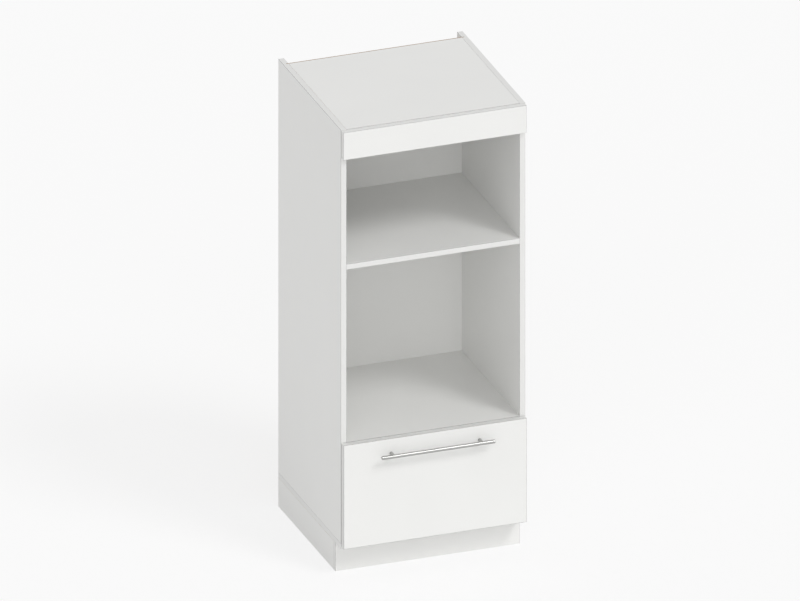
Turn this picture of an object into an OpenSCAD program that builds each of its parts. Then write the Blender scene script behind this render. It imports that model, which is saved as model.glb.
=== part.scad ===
// Tall kitchen housing: an open niche for a built-in oven, an open microwave niche above it,
// a blind fascia at the top, one deep drawer on ball-bearing runners and a set-back plinth.
// All sizes are in millimetres. X is the width, centred. The fronts face -Y. Z = 0 is the floor.

/* [Carcass] */
// Overall width over the two sides
carcass_w = 600; // [500:1:900]
// Depth of the sides and of the bottom panel
carcass_d = 560; // [552:1:700]
// Height of the sides, which stand on the bottom panel
side_h = 1390; // [1360:1:1800]
// Thickness of the carcass boards and of the fronts
board_t = 18; // [16:1:22]
// Clear height of the space behind the drawer front
drawer_space_h = 320; // [290:1:360]
// Clear height of the oven niche
oven_niche_h = 580; // [500:1:620]
// Depth of the open service void behind the back panel
void_d = 40; // [20:1:46]
// Thickness of the back panel and of the drawer bottom
panel_t = 3.2; // [2.5:0.1:4]
// Depth of the grooves that hold the thin panels
groove_depth = 8; // [5:0.5:9]
// Thickness of the glued edge bands
band_t = 1; // [0.5:0.1:2]
// Chamfer along the outer edges of the bands
band_ease = 0.4; // [0.2:0.05:0.45]

/* [Fronts] */
// Height of the blind fascia above the microwave niche
fascia_h = 92; // [80:1:140]
// Distance from the carcass top down to the fascia's top edge
fascia_drop = 2; // [1:0.5:6]
// Reveal of the carcass at each side of the fronts
side_reveal = 2; // [1:0.5:4]
// Distance from the oven shelf's top face down to the drawer front's top edge
front_drop = 1; // [0.5:0.5:5]
// Height of the drawer front's lower edge above the carcass underside
front_lift = 6; // [2:1:12]
// Gap between the closed drawer front and the carcass, taken up by the buffers
front_gap = 1.5; // [1:0.25:3]
// Diameter of the buffers behind the drawer front
buffer_d = 8; // [6:0.5:10]
// Distance of the buffers from the drawer front's top and bottom edges
buffer_inset = 22; // [18:1:60]

/* [Plinth] */
// Height of the plinth
plinth_h = 96; // [80:1:150]
// Set-back of the plinth from the carcass front
plinth_setback = 50; // [30:1:80]

/* [Handle] */
// Diameter of the bar
bar_d = 12; // [10:0.5:16]
// Length of the bar
bar_l = 368; // [320:1:440]
// Chamfer at the bar's ends
bar_chamfer = 0.8; // [0.3:0.1:1.5]
// Diameter of the two posts
post_d = 10; // [8:0.5:10]
// Distance between the posts' axes
post_pitch = 288; // [128:1:300]
// Distance from the drawer front's face to the bar's axis
bar_reach = 28; // [24:1:40]
// Distance from the drawer front's top edge down to the bar's axis
handle_drop = 48; // [30:1:65]
// Diameter of the handle screws
handle_screw_d = 4; // [3:0.5:5]
// Length of thread that a handle screw holds in its post
handle_bite = 9; // [6:0.5:12]

/* [Drawer box] */
// Thickness of the drawer box boards
box_t = 16; // [15:1:18]
// Height of the drawer box
box_h = 220; // [170:1:240]
// Clearance under the drawer box
box_lift = 26; // [16:1:40]
// Height of the drawer bottom above the lower edge of the box
bottom_up = 12; // [8:1:16]
// Height of the runner's centre line above the lower edge of the box
runner_up = 42; // [36:1:60]
// Height of the lower screw in each box corner above the lower edge of the box
box_screw_low = 80; // [70:1:95]
// Distance of the upper screw in each box corner from the upper edge of the box
box_screw_high = 35; // [20:1:60]

/* [Runners] */
// Length of the three runner members
runner_l = 500; // [400:5:505]
// Height of the cabinet member
runner_h = 45.7; // [43:0.1:50]
// Thickness of the rolled steel sheet
sheet_t = 1.1; // [0.9:0.1:1.3]
// Diameter of the balls
ball_d = 4; // [3.6:0.1:4.4]
// Clearance between a ball and its raceway
ball_gap = 0.15; // [0.1:0.01:0.2]
// Sideways distance between the outer and the inner ball row
row_pitch = 4.2; // [3.9:0.1:4.5]
// Room for screw heads between the cabinet member and the middle member
head_room = 2.2; // [2:0.1:3]
// Distance from an inner ball to the web of the drawer member
web_gap = 1; // [0.9:0.1:2]
// Length of a ball cage
cage_l = 230; // [150:5:235]
// Distance between neighbouring balls
ball_pitch = 30; // [12:1:50]
// Thickness of the cage strip
cage_t = 0.5; // [0.4:0.1:0.6]
// Rim of the cage strip beside the balls
cage_rim = 0.7; // [0.5:0.1:0.8]
// Distance of the runner's front end behind the carcass front
runner_setback = 3; // [2:1:6]
// Distance of the end screws from the ends of a runner
runner_screw_inset = 35; // [20:1:60]
// Diameter of the access holes in the middle member
access_hole_d = 11; // [9:0.5:14]
// Distance from an end screw to the slot beside it
slot_step = 32; // [20:1:60]
// Length of the slots for setting the runner
slot_l = 10; // [7:0.5:12]
// Width of the tab that stops the middle member
stop_w = 16; // [10:0.5:20]
// Gap between the middle member's end and that tab
stop_gap = 0.3; // [0.2:0.05:1]
// Diameter of the nibs that keep the cages in
nib_d = 1.6; // [1:0.1:2]
// Distance of the nibs from the ends of a member
nib_inset = 4; // [2:0.5:6]

/* [Fittings] */
// Distance of the cam fittings from the front and rear edges of a shelf
fitting_inset = 50; // [40:1:80]
// Distance from a cam fitting to the dowel beside it
dowel_step = 32; // [24:1:64]
// Diameter of the cam housings
cam_d = 15; // [12:1:16]
// Height of the cam housings
cam_h = 12.5; // [11:0.5:13]
// Distance from a shelf's end to the axis of its cam
cam_reach = 34; // [24:1:40]
// Diameter of the cam bolt's head
bolt_head_d = 7; // [6:0.5:7.5]
// Diameter of the cam bolt's shank
bolt_d = 6; // [5:0.5:6.5]
// Diameter of the cam bolt's thread in the side
bolt_thread_d = 5; // [4:0.5:6]
// Length of the cam bolt's thread in the side
bolt_thread_l = 11; // [8:0.5:12]
// Diameter of the wooden dowels
dowel_d = 8; // [6:1:8]
// Length of a dowel in the end or edge of a board
dowel_deep = 19; // [15:0.5:24]
// Length of a dowel in the face of a board
dowel_shallow = 10.5; // [8:0.5:12]
// Length of the connecting screws through the bottom panel
base_screw_l = 50; // [40:1:70]
// Diameter of the small wood screws
screw_d = 3.5; // [3:0.1:4]
// Length of the small wood screws
screw_l = 14; // [10:0.5:14]
// Height of the small wood screws' heads
screw_head_h = 1.5; // [1:0.1:1.7]
// Diameter of the small wood screws' heads
screw_head_d = 7; // [6:0.1:8]
// Length of the screws in the drawer box
box_screw_l = 40; // [30:1:50]
// Length of the screws that hold the drawer front
front_screw_l = 30; // [24:1:32]
// Length of each bracket leg
bracket_leg = 22; // [18:1:30]
// Width of a bracket
bracket_w = 18; // [14:1:26]
// Thickness of a bracket
bracket_t = 2; // [1.5:0.1:3]
// Clearance around screws, bolts, dowels and cams in their holes
fit_gap = 0.1; // [0.05:0.01:0.2]
// Clearance of the thin panels in their grooves
panel_gap = 0.2; // [0.1:0.05:0.5]

/* [Hidden] */
$fn = 48;

// Colours
board_white = [0.94, 0.94, 0.92];
band_white = [0.97, 0.97, 0.96];
panel_white = [0.9, 0.9, 0.88];
beech = [0.8, 0.66, 0.47];
zinc = [0.72, 0.73, 0.75];
steel = [0.6, 0.61, 0.63];
cage_grey = [0.35, 0.36, 0.38];
soft_clear = [0.85, 0.86, 0.88];

// A cut runs past the faces that it opens by this much
past = 1;
// Hairline seam between neighbouring edge bands
seam = 0.05;

// Heights from the floor
floor_z = plinth_h + board_t;
oven_shelf_z = floor_z + drawer_space_h;
microwave_shelf_z = oven_shelf_z + board_t + oven_niche_h;
carcass_top_z = floor_z + side_h;
top_panel_z = carcass_top_z - board_t;
shelf_levels = [oven_shelf_z, microwave_shelf_z, top_panel_z];

// Widths and depths, with Y = 0 at the carcass front
side_x = carcass_w / 2;
inner_x = side_x - board_t;
inner_w = 2 * inner_x;
back_y = carcass_d - void_d - panel_t;
handle_front = front_gap + board_t + bar_reach + bar_d / 2;
frame_shift_y = (handle_front - carcass_d) / 2;
plinth_rear_face = plinth_setback + board_t;

// Fronts
front_w = carcass_w - 2 * side_reveal;
fascia_z = carcass_top_z - fascia_drop - fascia_h;
front_z = plinth_h + front_lift;
front_top_z = oven_shelf_z + board_t - front_drop;
front_h = front_top_z - front_z;
front_face_y = -front_gap - board_t;
bar_y = front_face_y - bar_reach;
bar_z = front_top_z - handle_drop;

// Runner section: s runs from the carcass side to the drawer side, z from the centre line
ball_r = ball_d / 2;
race_r = ball_r + ball_gap;
skin_r = race_r + sheet_t;
middle_web_s = sheet_t + head_room;
outer_row = [middle_web_s + sheet_t, runner_h / 2 - skin_r];
// The middle member's sheet passes between the two rows, tangent to both
pass_angle = acos(row_pitch / (race_r + skin_r));
inner_row = outer_row + [row_pitch, -(race_r + skin_r) * sin(pass_angle)];
runner_t = inner_row[0] + ball_r + web_gap + sheet_t;
// Where the cabinet member's flange leaves its slope, and where the raceways end
slope_angle = 130;
lip_angle = 20;

// Drawer box
box_z = floor_z + box_lift;
box_x = inner_x - runner_t;
box_inner_x = box_x - box_t;
box_front_y = -front_gap;
box_rear_y = runner_setback + runner_l;
box_d = box_rear_y - box_front_y;
drawer_floor_z = box_z + bottom_up;
runner_z = box_z + runner_up;
box_screw_zs = [box_z + box_screw_low, box_z + box_h - box_screw_high];

// Places of the fittings
fitting_ys = [fitting_inset, back_y - fitting_inset];
dowel_ys = [fitting_inset + dowel_step, back_y - fitting_inset - dowel_step];
base_screw_ys = [fitting_inset, carcass_d / 2, carcass_d - fitting_inset];
base_dowel_ys = [fitting_inset + dowel_step, carcass_d - fitting_inset - dowel_step];
runner_screw_ys = [for (i = [0:2]) runner_screw_inset + i * (runner_l / 2 - runner_screw_inset)];
back_screw_inset = 60;
back_screw_xs = [back_screw_inset - inner_x, 0, inner_x - back_screw_inset];
bracket_hole = bracket_leg / 2 + bracket_t / 2;
fascia_bracket_up = 30;
top_bracket_x = 130;
plinth_bracket_x = 150;
front_screw_x = 180;
front_screw_edge = 60;
front_screw_zs = [box_z + front_screw_edge, box_z + box_h - front_screw_edge];
bottom_screw_xs = [-front_screw_x, 0, front_screw_x];

// Screw proportions
base_screw_d = 7;
base_screw_head_d = 10;
base_screw_thread_d = 5;
neck_short = 2;
base_screw_neck = board_t - neck_short;
box_screw_d = 4;
box_screw_head_d = 8;
handle_head_d = 8;
handle_head_h = 2.4;
spigot_d = 5;
spigot_deep = 4;
screw_hole_d = screw_d + 1;
bolt_taper = 1;
cam_cross = [7.5, 1.9, 2.5];

// ---- Helpers ----

// Children on the left, and their mirror image on the right
module both_sides() {
    children();
    mirror([1, 0, 0]) children();
}

// Turns a shape that points along +Z to point along -X, +X, -Y or +Y
module to_left() rotate([0, -90, 0]) children();
module to_right() rotate([0, 90, 0]) children();
module to_front() rotate([90, 0, 0]) children();
module to_rear() rotate([-90, 0, 0]) children();

// Screw that points along +Z: a flat-topped head below Z = 0 and a shank with a pointed end above it
module pan_screw(d, l, head_d, head_h) {
    rotate_extrude() polygon([
        [0, -head_h], [head_d / 2 - head_h / 2, -head_h], [head_d / 2, -head_h / 2], [head_d / 2, 0],
        [d / 2, 0], [d / 2, l - d], [0, l]
    ]);
}

// The small wood screw, with its head below Z = 0
module small_screw() pan_screw(screw_d, screw_l, screw_head_d, screw_head_h);

// Countersunk screw that points along +Z, with its head flush with Z = 0
module sunk_screw(d, l, head_d) {
    rotate_extrude() polygon([
        [0, 0], [head_d / 2, 0], [d / 2, (head_d - d) / 2], [d / 2, l - d], [0, l]
    ]);
}

// Clearance hole and countersink for a sunk_screw through a board
module sunk_hole(d, through, head_d) {
    rotate_extrude() polygon([
        [0, -past], [head_d / 2 + fit_gap, -past], [head_d / 2 + fit_gap, 0],
        [d / 2 + fit_gap, (head_d - d) / 2], [d / 2 + fit_gap, through], [0, through]
    ]);
}

// Hole that starts just outside a face and ends at the given depth
module blind_hole(d, deep) translate([0, 0, -past]) cylinder(d = d + 2 * fit_gap, h = deep + past);

// ---- Boards with holes ----

// Groove in the left side that holds the back panel, open at both ends
module back_groove() {
    translate([-inner_x - groove_depth, back_y, floor_z - past])
        cube([groove_depth + past, panel_t + panel_gap, side_h + 2 * past]);
}

module side_panel() {
    color(board_white) difference() {
        translate([-side_x, band_t, floor_z]) cube([board_t, carcass_d - band_t, side_h - band_t]);
        back_groove();
        for (z = shelf_levels) {
            for (y = fitting_ys) translate([-inner_x, y, z + board_t / 2])
                to_left() blind_hole(bolt_thread_d, bolt_thread_l + fit_gap);
            for (y = dowel_ys) translate([-inner_x, y, z + board_t / 2])
                to_left() blind_hole(dowel_d, dowel_shallow + fit_gap);
        }
        for (y = base_screw_ys) translate([board_t / 2 - side_x, y, floor_z])
            blind_hole(base_screw_thread_d, base_screw_l - board_t + fit_gap);
        for (y = base_dowel_ys) translate([board_t / 2 - side_x, y, floor_z])
            blind_hole(dowel_d, dowel_deep + fit_gap);
        for (y = runner_screw_ys) translate([-inner_x, runner_setback + y, runner_z])
            to_left() blind_hole(screw_d, screw_l);
        left_fascia_bracket_place() bracket_pilots();
    }
}

module side_left() side_panel();
module side_right() mirror([1, 0, 0]) side_panel();

module bottom_panel() {
    color(board_white) difference() {
        translate([band_t - side_x, band_t, plinth_h])
            cube([carcass_w - 2 * band_t, carcass_d - band_t, board_t]);
        both_sides() {
            for (y = base_screw_ys) translate([board_t / 2 - side_x, y, plinth_h])
                sunk_hole(base_screw_d, board_t + past, base_screw_head_d);
            for (y = base_dowel_ys) translate([board_t / 2 - side_x, y, floor_z])
                mirror([0, 0, 1]) blind_hole(dowel_d, dowel_shallow + fit_gap);
        }
        plinth_bracket_places() bracket_pilots();
    }
}

// Board between the sides, with its cam pockets on the underside
module fixed_shelf(z) {
    color(board_white) difference() {
        translate([-inner_x, band_t, z]) cube([inner_w, back_y - band_t, board_t]);
        both_sides() {
            for (y = fitting_ys) translate([-inner_x, y, z]) {
                translate([cam_reach, 0, 0]) blind_hole(cam_d, cam_h + fit_gap);
                translate([0, 0, board_t / 2]) to_right() blind_hole(bolt_head_d, cam_reach);
            }
            for (y = dowel_ys) translate([-inner_x, y, z + board_t / 2])
                to_right() blind_hole(dowel_d, dowel_deep + fit_gap);
        }
        for (x = back_screw_xs) translate([x, back_y, z + board_t / 2])
            to_front() blind_hole(screw_d, screw_l);
        if (z == top_panel_z) top_bracket_places() bracket_pilots();
    }
}

module oven_shelf() fixed_shelf(oven_shelf_z);
module microwave_shelf() fixed_shelf(microwave_shelf_z);
module top_panel() fixed_shelf(top_panel_z);

// Stands on the bottom panel, in the grooves of the sides and against the shelves' rear edges
module back_panel() {
    half_w = inner_x + groove_depth - panel_gap;
    color(panel_white) difference() {
        translate([-half_w, back_y, floor_z]) cube([2 * half_w, panel_t, side_h]);
        for (z = shelf_levels, x = back_screw_xs) translate([x, back_y + panel_t, z + board_t / 2])
            to_front() blind_hole(screw_d, panel_t + past);
    }
}

// A front board without its edge bands, from its lower left corner
module front_core(w, h) translate([band_t, 0, band_t]) cube([w - 2 * band_t, board_t, h - 2 * band_t]);

// Section of a front across its length w, with the bands' chamfers at its corners
module front_section(w) {
    c = band_ease;
    polygon([
        [c, 0], [w - c, 0], [w, c], [w, board_t - c], [w - c, board_t], [c, board_t], [0, board_t - c], [0, c]
    ]);
}

// A whole front with chamfered edges, from its lower left corner
module eased_front(w, h) {
    intersection() {
        linear_extrude(h) front_section(w);
        translate([0, 0, h]) rotate([0, 90, 0]) linear_extrude(w) front_section(h);
    }
}

// The four bands around a front board
module front_bands(w, h) {
    for (x = [0, w - band_t]) intersection() {
        eased_front(w, h);
        translate([x, 0, 0]) cube([band_t, board_t, h]);
    }
    for (z = [0, h - band_t]) intersection() {
        eased_front(w, h);
        translate([band_t + seam, 0, z]) cube([w - 2 * (band_t + seam), board_t, band_t]);
    }
}

// Band along +Z that covers X = 0 to w, glued at Y = band_t and chamfered along its outer edges at Y = 0
module band(l, w) {
    c = band_ease;
    linear_extrude(l) polygon([[0, band_t], [0, c], [c, 0], [w - c, 0], [w, c], [w, band_t]]);
}

// The same band along X or Y, with its outer face at the front, at the left or on top
module band_across(l, w) translate([0, 0, w]) rotate([0, 90, 0]) band(l, w);
module band_left_upright(l, w) translate([0, w, 0]) rotate([0, 0, -90]) band(l, w);
module band_left_along(l, w) rotate([-90, -90, 0]) band(l, w);
module band_top_along(l, w) to_rear() band(l, w);
module band_top_across(l, w) translate([0, w, 0]) rotate([-90, 0, -90]) band(l, w);

module top_fascia() {
    color(board_white) difference() {
        translate([-front_w / 2, -board_t, fascia_z]) front_core(front_w, fascia_h);
        both_sides() left_fascia_bracket_place() bracket_pilots();
        top_bracket_places() bracket_pilots();
    }
}

module fascia_edge_bands()
    color(band_white) translate([-front_w / 2, -board_t, fascia_z]) front_bands(front_w, fascia_h);

// Front and top edges of the sides, all showing edges of the bottom panel and the shelves' front edges
module carcass_edge_bands() {
    color(band_white) {
        both_sides() {
            translate([-side_x, 0, floor_z + seam]) band(side_h - seam, board_t);
            difference() {
                translate([-side_x, band_t + seam, carcass_top_z])
                    band_top_along(carcass_d - band_t - seam, board_t);
                back_groove();
            }
            translate([-side_x, band_t + seam, plinth_h])
                band_left_along(carcass_d - band_t - seam, board_t);
        }
        translate([-side_x, 0, plinth_h]) band_across(carcass_w, board_t);
        for (z = shelf_levels) translate([seam - inner_x, 0, z]) band_across(inner_w - 2 * seam, board_t);
    }
}

// ---- Plinth ----

module plinth_front() {
    color(board_white) difference() {
        translate([band_t - side_x, plinth_setback, 0]) cube([carcass_w - 2 * band_t, board_t, plinth_h]);
        plinth_bracket_places() bracket_pilots();
    }
}

module plinth_side() {
    color(board_white) difference() {
        translate([-side_x, plinth_rear_face, 0])
            cube([board_t, carcass_d - plinth_rear_face, plinth_h]);
        plinth_bracket_places() bracket_pilots();
    }
}

module plinth_left() plinth_side();
module plinth_right() mirror([1, 0, 0]) plinth_side();

module plinth_back() {
    color(board_white) difference() {
        translate([-inner_x, carcass_d - board_t, 0]) cube([inner_w, board_t, plinth_h]);
        plinth_bracket_places() bracket_pilots();
    }
}

module plinth_edge_bands() {
    color(band_white) both_sides()
        translate([-side_x, plinth_setback, 0]) band_left_upright(plinth_h, board_t);
}

// ---- Cam fittings, dowels and screws of the carcass ----

// Cam in the underside of a shelf: it grips the bolt's head through a slot in its side
module cam_lock() {
    slot_d = bolt_head_d + 2 * fit_gap;
    difference() {
        cylinder(d = cam_d, h = cam_h);
        translate([bolt_head_d / -2, 0, board_t / 2]) to_right() cylinder(d = slot_d, h = 2 * cam_d);
        for (turn = [0, 90]) rotate([0, 0, turn]) translate([0, 0, (cam_cross[2] - past) / 2])
            cube(cam_cross + [0, 0, past], center = true);
    }
}

module cam_locks() {
    color(zinc) both_sides() for (z = shelf_levels, y = fitting_ys)
        translate([cam_reach - inner_x, y, z]) mirror([1, 0, 0]) cam_lock();
}

// Bolt that points along +Z into the side, from its head in the cam
module cam_bolt() {
    head_l = bolt_head_d / 3;
    neck_d = bolt_head_d / 2;
    neck_end = cam_d / 2;
    rotate_extrude() polygon([
        [0, -head_l], [bolt_head_d / 2, -head_l], [bolt_head_d / 2, 0], [neck_d / 2, head_l / 2],
        [neck_d / 2, neck_end - bolt_taper], [bolt_d / 2, neck_end], [bolt_d / 2, cam_reach],
        [bolt_thread_d / 2, cam_reach], [bolt_thread_d / 2, cam_reach + bolt_thread_l - bolt_taper],
        [bolt_thread_d / 2 - bolt_taper, cam_reach + bolt_thread_l], [0, cam_reach + bolt_thread_l]
    ]);
}

module cam_bolts() {
    color(zinc) both_sides() for (z = shelf_levels, y = fitting_ys)
        translate([cam_reach - inner_x, y, z + board_t / 2]) to_left() cam_bolt();
}

// Dowel along Z with chamfered ends, its shallow end above Z = 0
module wood_dowel() {
    chamfer = dowel_d / 10;
    r = dowel_d / 2;
    rotate_extrude() polygon([
        [0, -dowel_deep], [r - chamfer, -dowel_deep], [r, chamfer - dowel_deep],
        [r, dowel_shallow - chamfer], [r - chamfer, dowel_shallow], [0, dowel_shallow]
    ]);
}

module wood_dowels() {
    color(beech) both_sides() {
        for (z = shelf_levels, y = dowel_ys)
            translate([-inner_x, y, z + board_t / 2]) to_left() wood_dowel();
        for (y = base_dowel_ys)
            translate([board_t / 2 - side_x, y, floor_z]) mirror([0, 0, 1]) wood_dowel();
    }
}

// Connecting screw that points along +Z: countersunk head, smooth neck and thinner thread
module base_screw() {
    r = base_screw_d / 2;
    thread_r = base_screw_thread_d / 2;
    rotate_extrude() polygon([
        [0, 0], [base_screw_head_d / 2, 0], [r, base_screw_head_d / 2 - r], [r, base_screw_neck],
        [thread_r, base_screw_neck + r - thread_r], [thread_r, base_screw_l - thread_r],
        [0, base_screw_l]
    ]);
}

module base_screws() {
    color(zinc) both_sides() for (y = base_screw_ys)
        translate([board_t / 2 - side_x, y, plinth_h]) base_screw();
}

module back_panel_screws() {
    color(zinc) for (z = shelf_levels, x = back_screw_xs)
        translate([x, back_y + panel_t, z + board_t / 2])
            to_front() small_screw();
}

// ---- Angle brackets ----

// Bracket in the corner of two boards whose faces are the planes X = 0 and Y = 0
module angle_bracket() {
    difference() {
        translate([0, 0, -bracket_w / 2]) linear_extrude(bracket_w) difference() {
            square(bracket_leg);
            translate([2 * bracket_t, 2 * bracket_t]) square(bracket_leg);
            translate([bracket_t, 2 * bracket_t]) square([2 * bracket_t, bracket_leg]);
            translate([2 * bracket_t, bracket_t]) square([bracket_leg, 2 * bracket_t]);
            translate([2 * bracket_t, 2 * bracket_t]) circle(r = bracket_t);
        }
        translate([bracket_hole, -past, 0]) to_rear() cylinder(d = screw_hole_d, h = bracket_t + 2 * past);
        translate([-past, bracket_hole, 0]) to_right() cylinder(d = screw_hole_d, h = bracket_t + 2 * past);
    }
}

// The two screws of a bracket, through its legs into the boards
module bracket_screw_pair() {
    translate([bracket_hole, bracket_t, 0]) to_front() small_screw();
    translate([bracket_t, bracket_hole, 0]) to_left() small_screw();
}

// Pilot holes of a bracket's screws in the boards behind it
module bracket_pilots() {
    deep = screw_l - bracket_t + fit_gap;
    translate([bracket_hole, 0, 0]) to_front() blind_hole(screw_d, deep);
    translate([0, bracket_hole, 0]) to_left() blind_hole(screw_d, deep);
}

// Behind the fascia, against the inner face of the left side
module left_fascia_bracket_place() translate([-inner_x, 0, fascia_z + fascia_bracket_up]) children();

// Behind the fascia, under the top panel
module top_bracket_places() {
    for (x = [-top_bracket_x, top_bracket_x]) translate([x, 0, top_panel_z]) rotate([0, 90, 0]) children();
}

// Inside the plinth: under the bottom panel and in the four corners
module plinth_bracket_places() {
    for (x = [-plinth_bracket_x, plinth_bracket_x]) {
        translate([x, plinth_rear_face, plinth_h]) rotate([0, 90, 0]) children();
        translate([x, carcass_d - board_t, plinth_h]) mirror([0, 1, 0]) rotate([0, 90, 0]) children();
    }
    both_sides() {
        translate([-inner_x, carcass_d / 2, plinth_h]) rotate([0, 0, -90]) rotate([0, 90, 0]) children();
        translate([-inner_x, plinth_rear_face, plinth_h / 2]) children();
        translate([-inner_x, carcass_d - board_t, plinth_h / 2]) mirror([0, 1, 0]) children();
    }
}

module fascia_brackets() {
    color(zinc) {
        both_sides() left_fascia_bracket_place() angle_bracket();
        top_bracket_places() angle_bracket();
    }
}

module plinth_brackets() color(zinc) plinth_bracket_places() angle_bracket();

module bracket_screws() {
    color(steel) {
        both_sides() left_fascia_bracket_place() bracket_screw_pair();
        top_bracket_places() bracket_screw_pair();
        plinth_bracket_places() bracket_screw_pair();
    }
}

// ---- Runners ----

// Points on an arc about c, from angle a to angle b
function arc(c, r, a, b, steps = 8) =
    [for (i = [0:steps]) c + r * [cos(a + (b - a) * i / steps), sin(a + (b - a) * i / steps)]];

// The same points below the centre line, in the opposite order
function below(points) = [for (i = [len(points) - 1:-1:0]) [points[i][0], -points[i][1]]];

// Outline of a rolled channel from the upper halves of its two faces
function channel(face, other_face) =
    let (whole = concat(below(other_face), other_face))
    concat(below(face), face, [for (i = [len(whole) - 1:-1:0]) whole[i]]);

// Where a straight slope that runs into an arc at angle a starts from the line s = at_s
function slope_start(c, r, a, at_s) =
    let (p = c + r * [cos(a), sin(a)])
    [at_s, p[1] - (p[0] - at_s) * tan(a - 90)];

cabinet_section = channel(
    concat([slope_start(outer_row, skin_r, slope_angle, 0)],
        arc(outer_row, skin_r, slope_angle, lip_angle)),
    concat([slope_start(outer_row, race_r, slope_angle, sheet_t)],
        arc(outer_row, race_r, slope_angle, lip_angle)));

middle_section = channel(
    concat(arc([outer_row[0], outer_row[1] - skin_r], sheet_t, 180, 90, 4),
        arc(outer_row, race_r, 270, 360 - pass_angle),
        arc(inner_row, skin_r, 180 - pass_angle, lip_angle)),
    concat(arc(outer_row, skin_r, 270, 360 - pass_angle),
        arc(inner_row, race_r, 180 - pass_angle, lip_angle)));

drawer_section = channel(
    concat(arc([runner_t - sheet_t, inner_row[1] - skin_r], sheet_t, 0, 90, 4),
        arc(inner_row, race_r, 270, 180 + lip_angle)),
    concat([[runner_t - sheet_t, inner_row[1] - skin_r]],
        arc(inner_row, skin_r, 270, 180 + lip_angle)));

// Children at the left runner, with X as s, Y along the runner and Z from its centre line
module at_left_runner() translate([-inner_x, runner_setback, runner_z]) children();

// Rolled member with three round holes in its web, which lies at s = web_s
module runner_member(section, web_s, hole_d) {
    difference() {
        translate([0, runner_l, 0]) to_front() linear_extrude(runner_l) polygon(section);
        for (y = runner_screw_ys) translate([web_s - past, y, 0])
            to_right() cylinder(d = hole_d, h = sheet_t + 2 * past);
    }
}

// Slots through a web beside the end screws, upright or turned to lie along the runner
module setting_slots(web_s, turn) {
    half = (slot_l - screw_hole_d) / 2;
    through = sheet_t + 2 * past;
    for (y = [runner_screw_ys[0] + slot_step, runner_screw_ys[2] - slot_step])
        translate([web_s - past, y, 0]) rotate([turn, 0, 0]) {
            for (z = [-half, half]) translate([0, 0, z]) to_right() cylinder(d = screw_hole_d, h = through);
            translate([0, -screw_hole_d / 2, -half]) cube([through, screw_hole_d, 2 * half]);
        }
}

// Nibs that reach from a raceway into the path of its cage, near both ends of a member
module cage_nibs(row) {
    for (up = [0, 1], y = [nib_inset, runner_l - nib_inset]) mirror([0, 0, up])
        translate([row[0], y, row[1] - cage_t]) cylinder(d = nib_d, h = race_r + cage_t + sheet_t / 2);
}

// Tab bent in from the cabinet member's web behind the middle member
module middle_stop() {
    reach = middle_web_s + 2 * sheet_t;
    translate([0, runner_l, -stop_w / 2]) {
        cube([sheet_t, stop_gap + sheet_t, stop_w]);
        translate([0, stop_gap, 0]) cube([reach, sheet_t, stop_w]);
    }
}

module runner_cabinet_left() {
    color(zinc) at_left_runner() {
        difference() {
            runner_member(cabinet_section, 0, screw_hole_d);
            setting_slots(0, 0);
        }
        cage_nibs(outer_row);
        middle_stop();
    }
}

module runner_middle_left() {
    color(steel) at_left_runner() {
        runner_member(middle_section, middle_web_s, access_hole_d);
        cage_nibs(inner_row);
    }
}

module runner_drawer_left() {
    color(zinc) at_left_runner() difference() {
        runner_member(drawer_section, runner_t - sheet_t, screw_hole_d);
        setting_slots(runner_t - sheet_t, 90);
    }
}

module runner_cabinet_right() mirror([1, 0, 0]) runner_cabinet_left();
module runner_middle_right() mirror([1, 0, 0]) runner_middle_left();
module runner_drawer_right() mirror([1, 0, 0]) runner_drawer_left();

module runner_cabinet_screws() {
    color(steel) both_sides() for (y = runner_screw_ys)
        translate([sheet_t - inner_x, runner_setback + y, runner_z])
            to_left() small_screw();
}

module runner_drawer_screws() {
    color(steel) both_sides() for (y = runner_screw_ys)
        translate([runner_t - sheet_t - inner_x, runner_setback + y, runner_z])
            to_right() small_screw();
}

// Distances along a cage at which its balls sit
ball_gaps = floor((cage_l - 2 * ball_d) / ball_pitch);
ball_ys = [for (i = [0:ball_gaps]) (cage_l - ball_gaps * ball_pitch) / 2 + i * ball_pitch];

// Children at the middle of both runners, above and below the centre line, at one ball row
module at_rows(row) {
    both_sides() for (up = [0, 1]) translate([-inner_x, runner_setback, runner_z])
        mirror([0, 0, up]) translate([row[0], (runner_l - cage_l) / 2, row[1]]) children();
}

module ball_cages(row) {
    half_w = ball_r + cage_rim;
    color(cage_grey) at_rows(row) difference() {
        translate([-half_w, 0, -cage_t / 2]) cube([2 * half_w, cage_l, cage_t]);
        for (y = ball_ys) translate([0, y, -cage_t / 2]) blind_hole(ball_d, cage_t + past);
    }
}

module balls(row) color(steel) at_rows(row) for (y = ball_ys) translate([0, y, 0]) sphere(d = ball_d);

module outer_ball_cages() ball_cages(outer_row);
module outer_balls() balls(outer_row);
module inner_ball_cages() ball_cages(inner_row);
module inner_balls() balls(inner_row);

// ---- Drawer box ----

module drawer_side() {
    color(board_white) difference() {
        translate([-box_x, box_front_y, box_z]) cube([box_t, box_d, box_h - band_t]);
        translate([-box_inner_x - groove_depth, box_front_y - past, drawer_floor_z])
            cube([groove_depth + past, box_d + 2 * past, panel_t + panel_gap]);
        for (y = [box_front_y, box_rear_y - box_t], z = box_screw_zs)
            translate([-box_x, y + box_t / 2, z])
                to_right() sunk_hole(box_screw_d, box_t + past, box_screw_head_d);
        for (y = runner_screw_ys) translate([-box_x, runner_setback + y, runner_z])
            to_right() blind_hole(screw_d, screw_l - sheet_t + fit_gap);
    }
}

module drawer_side_left() drawer_side();
module drawer_side_right() mirror([1, 0, 0]) drawer_side();

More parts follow.
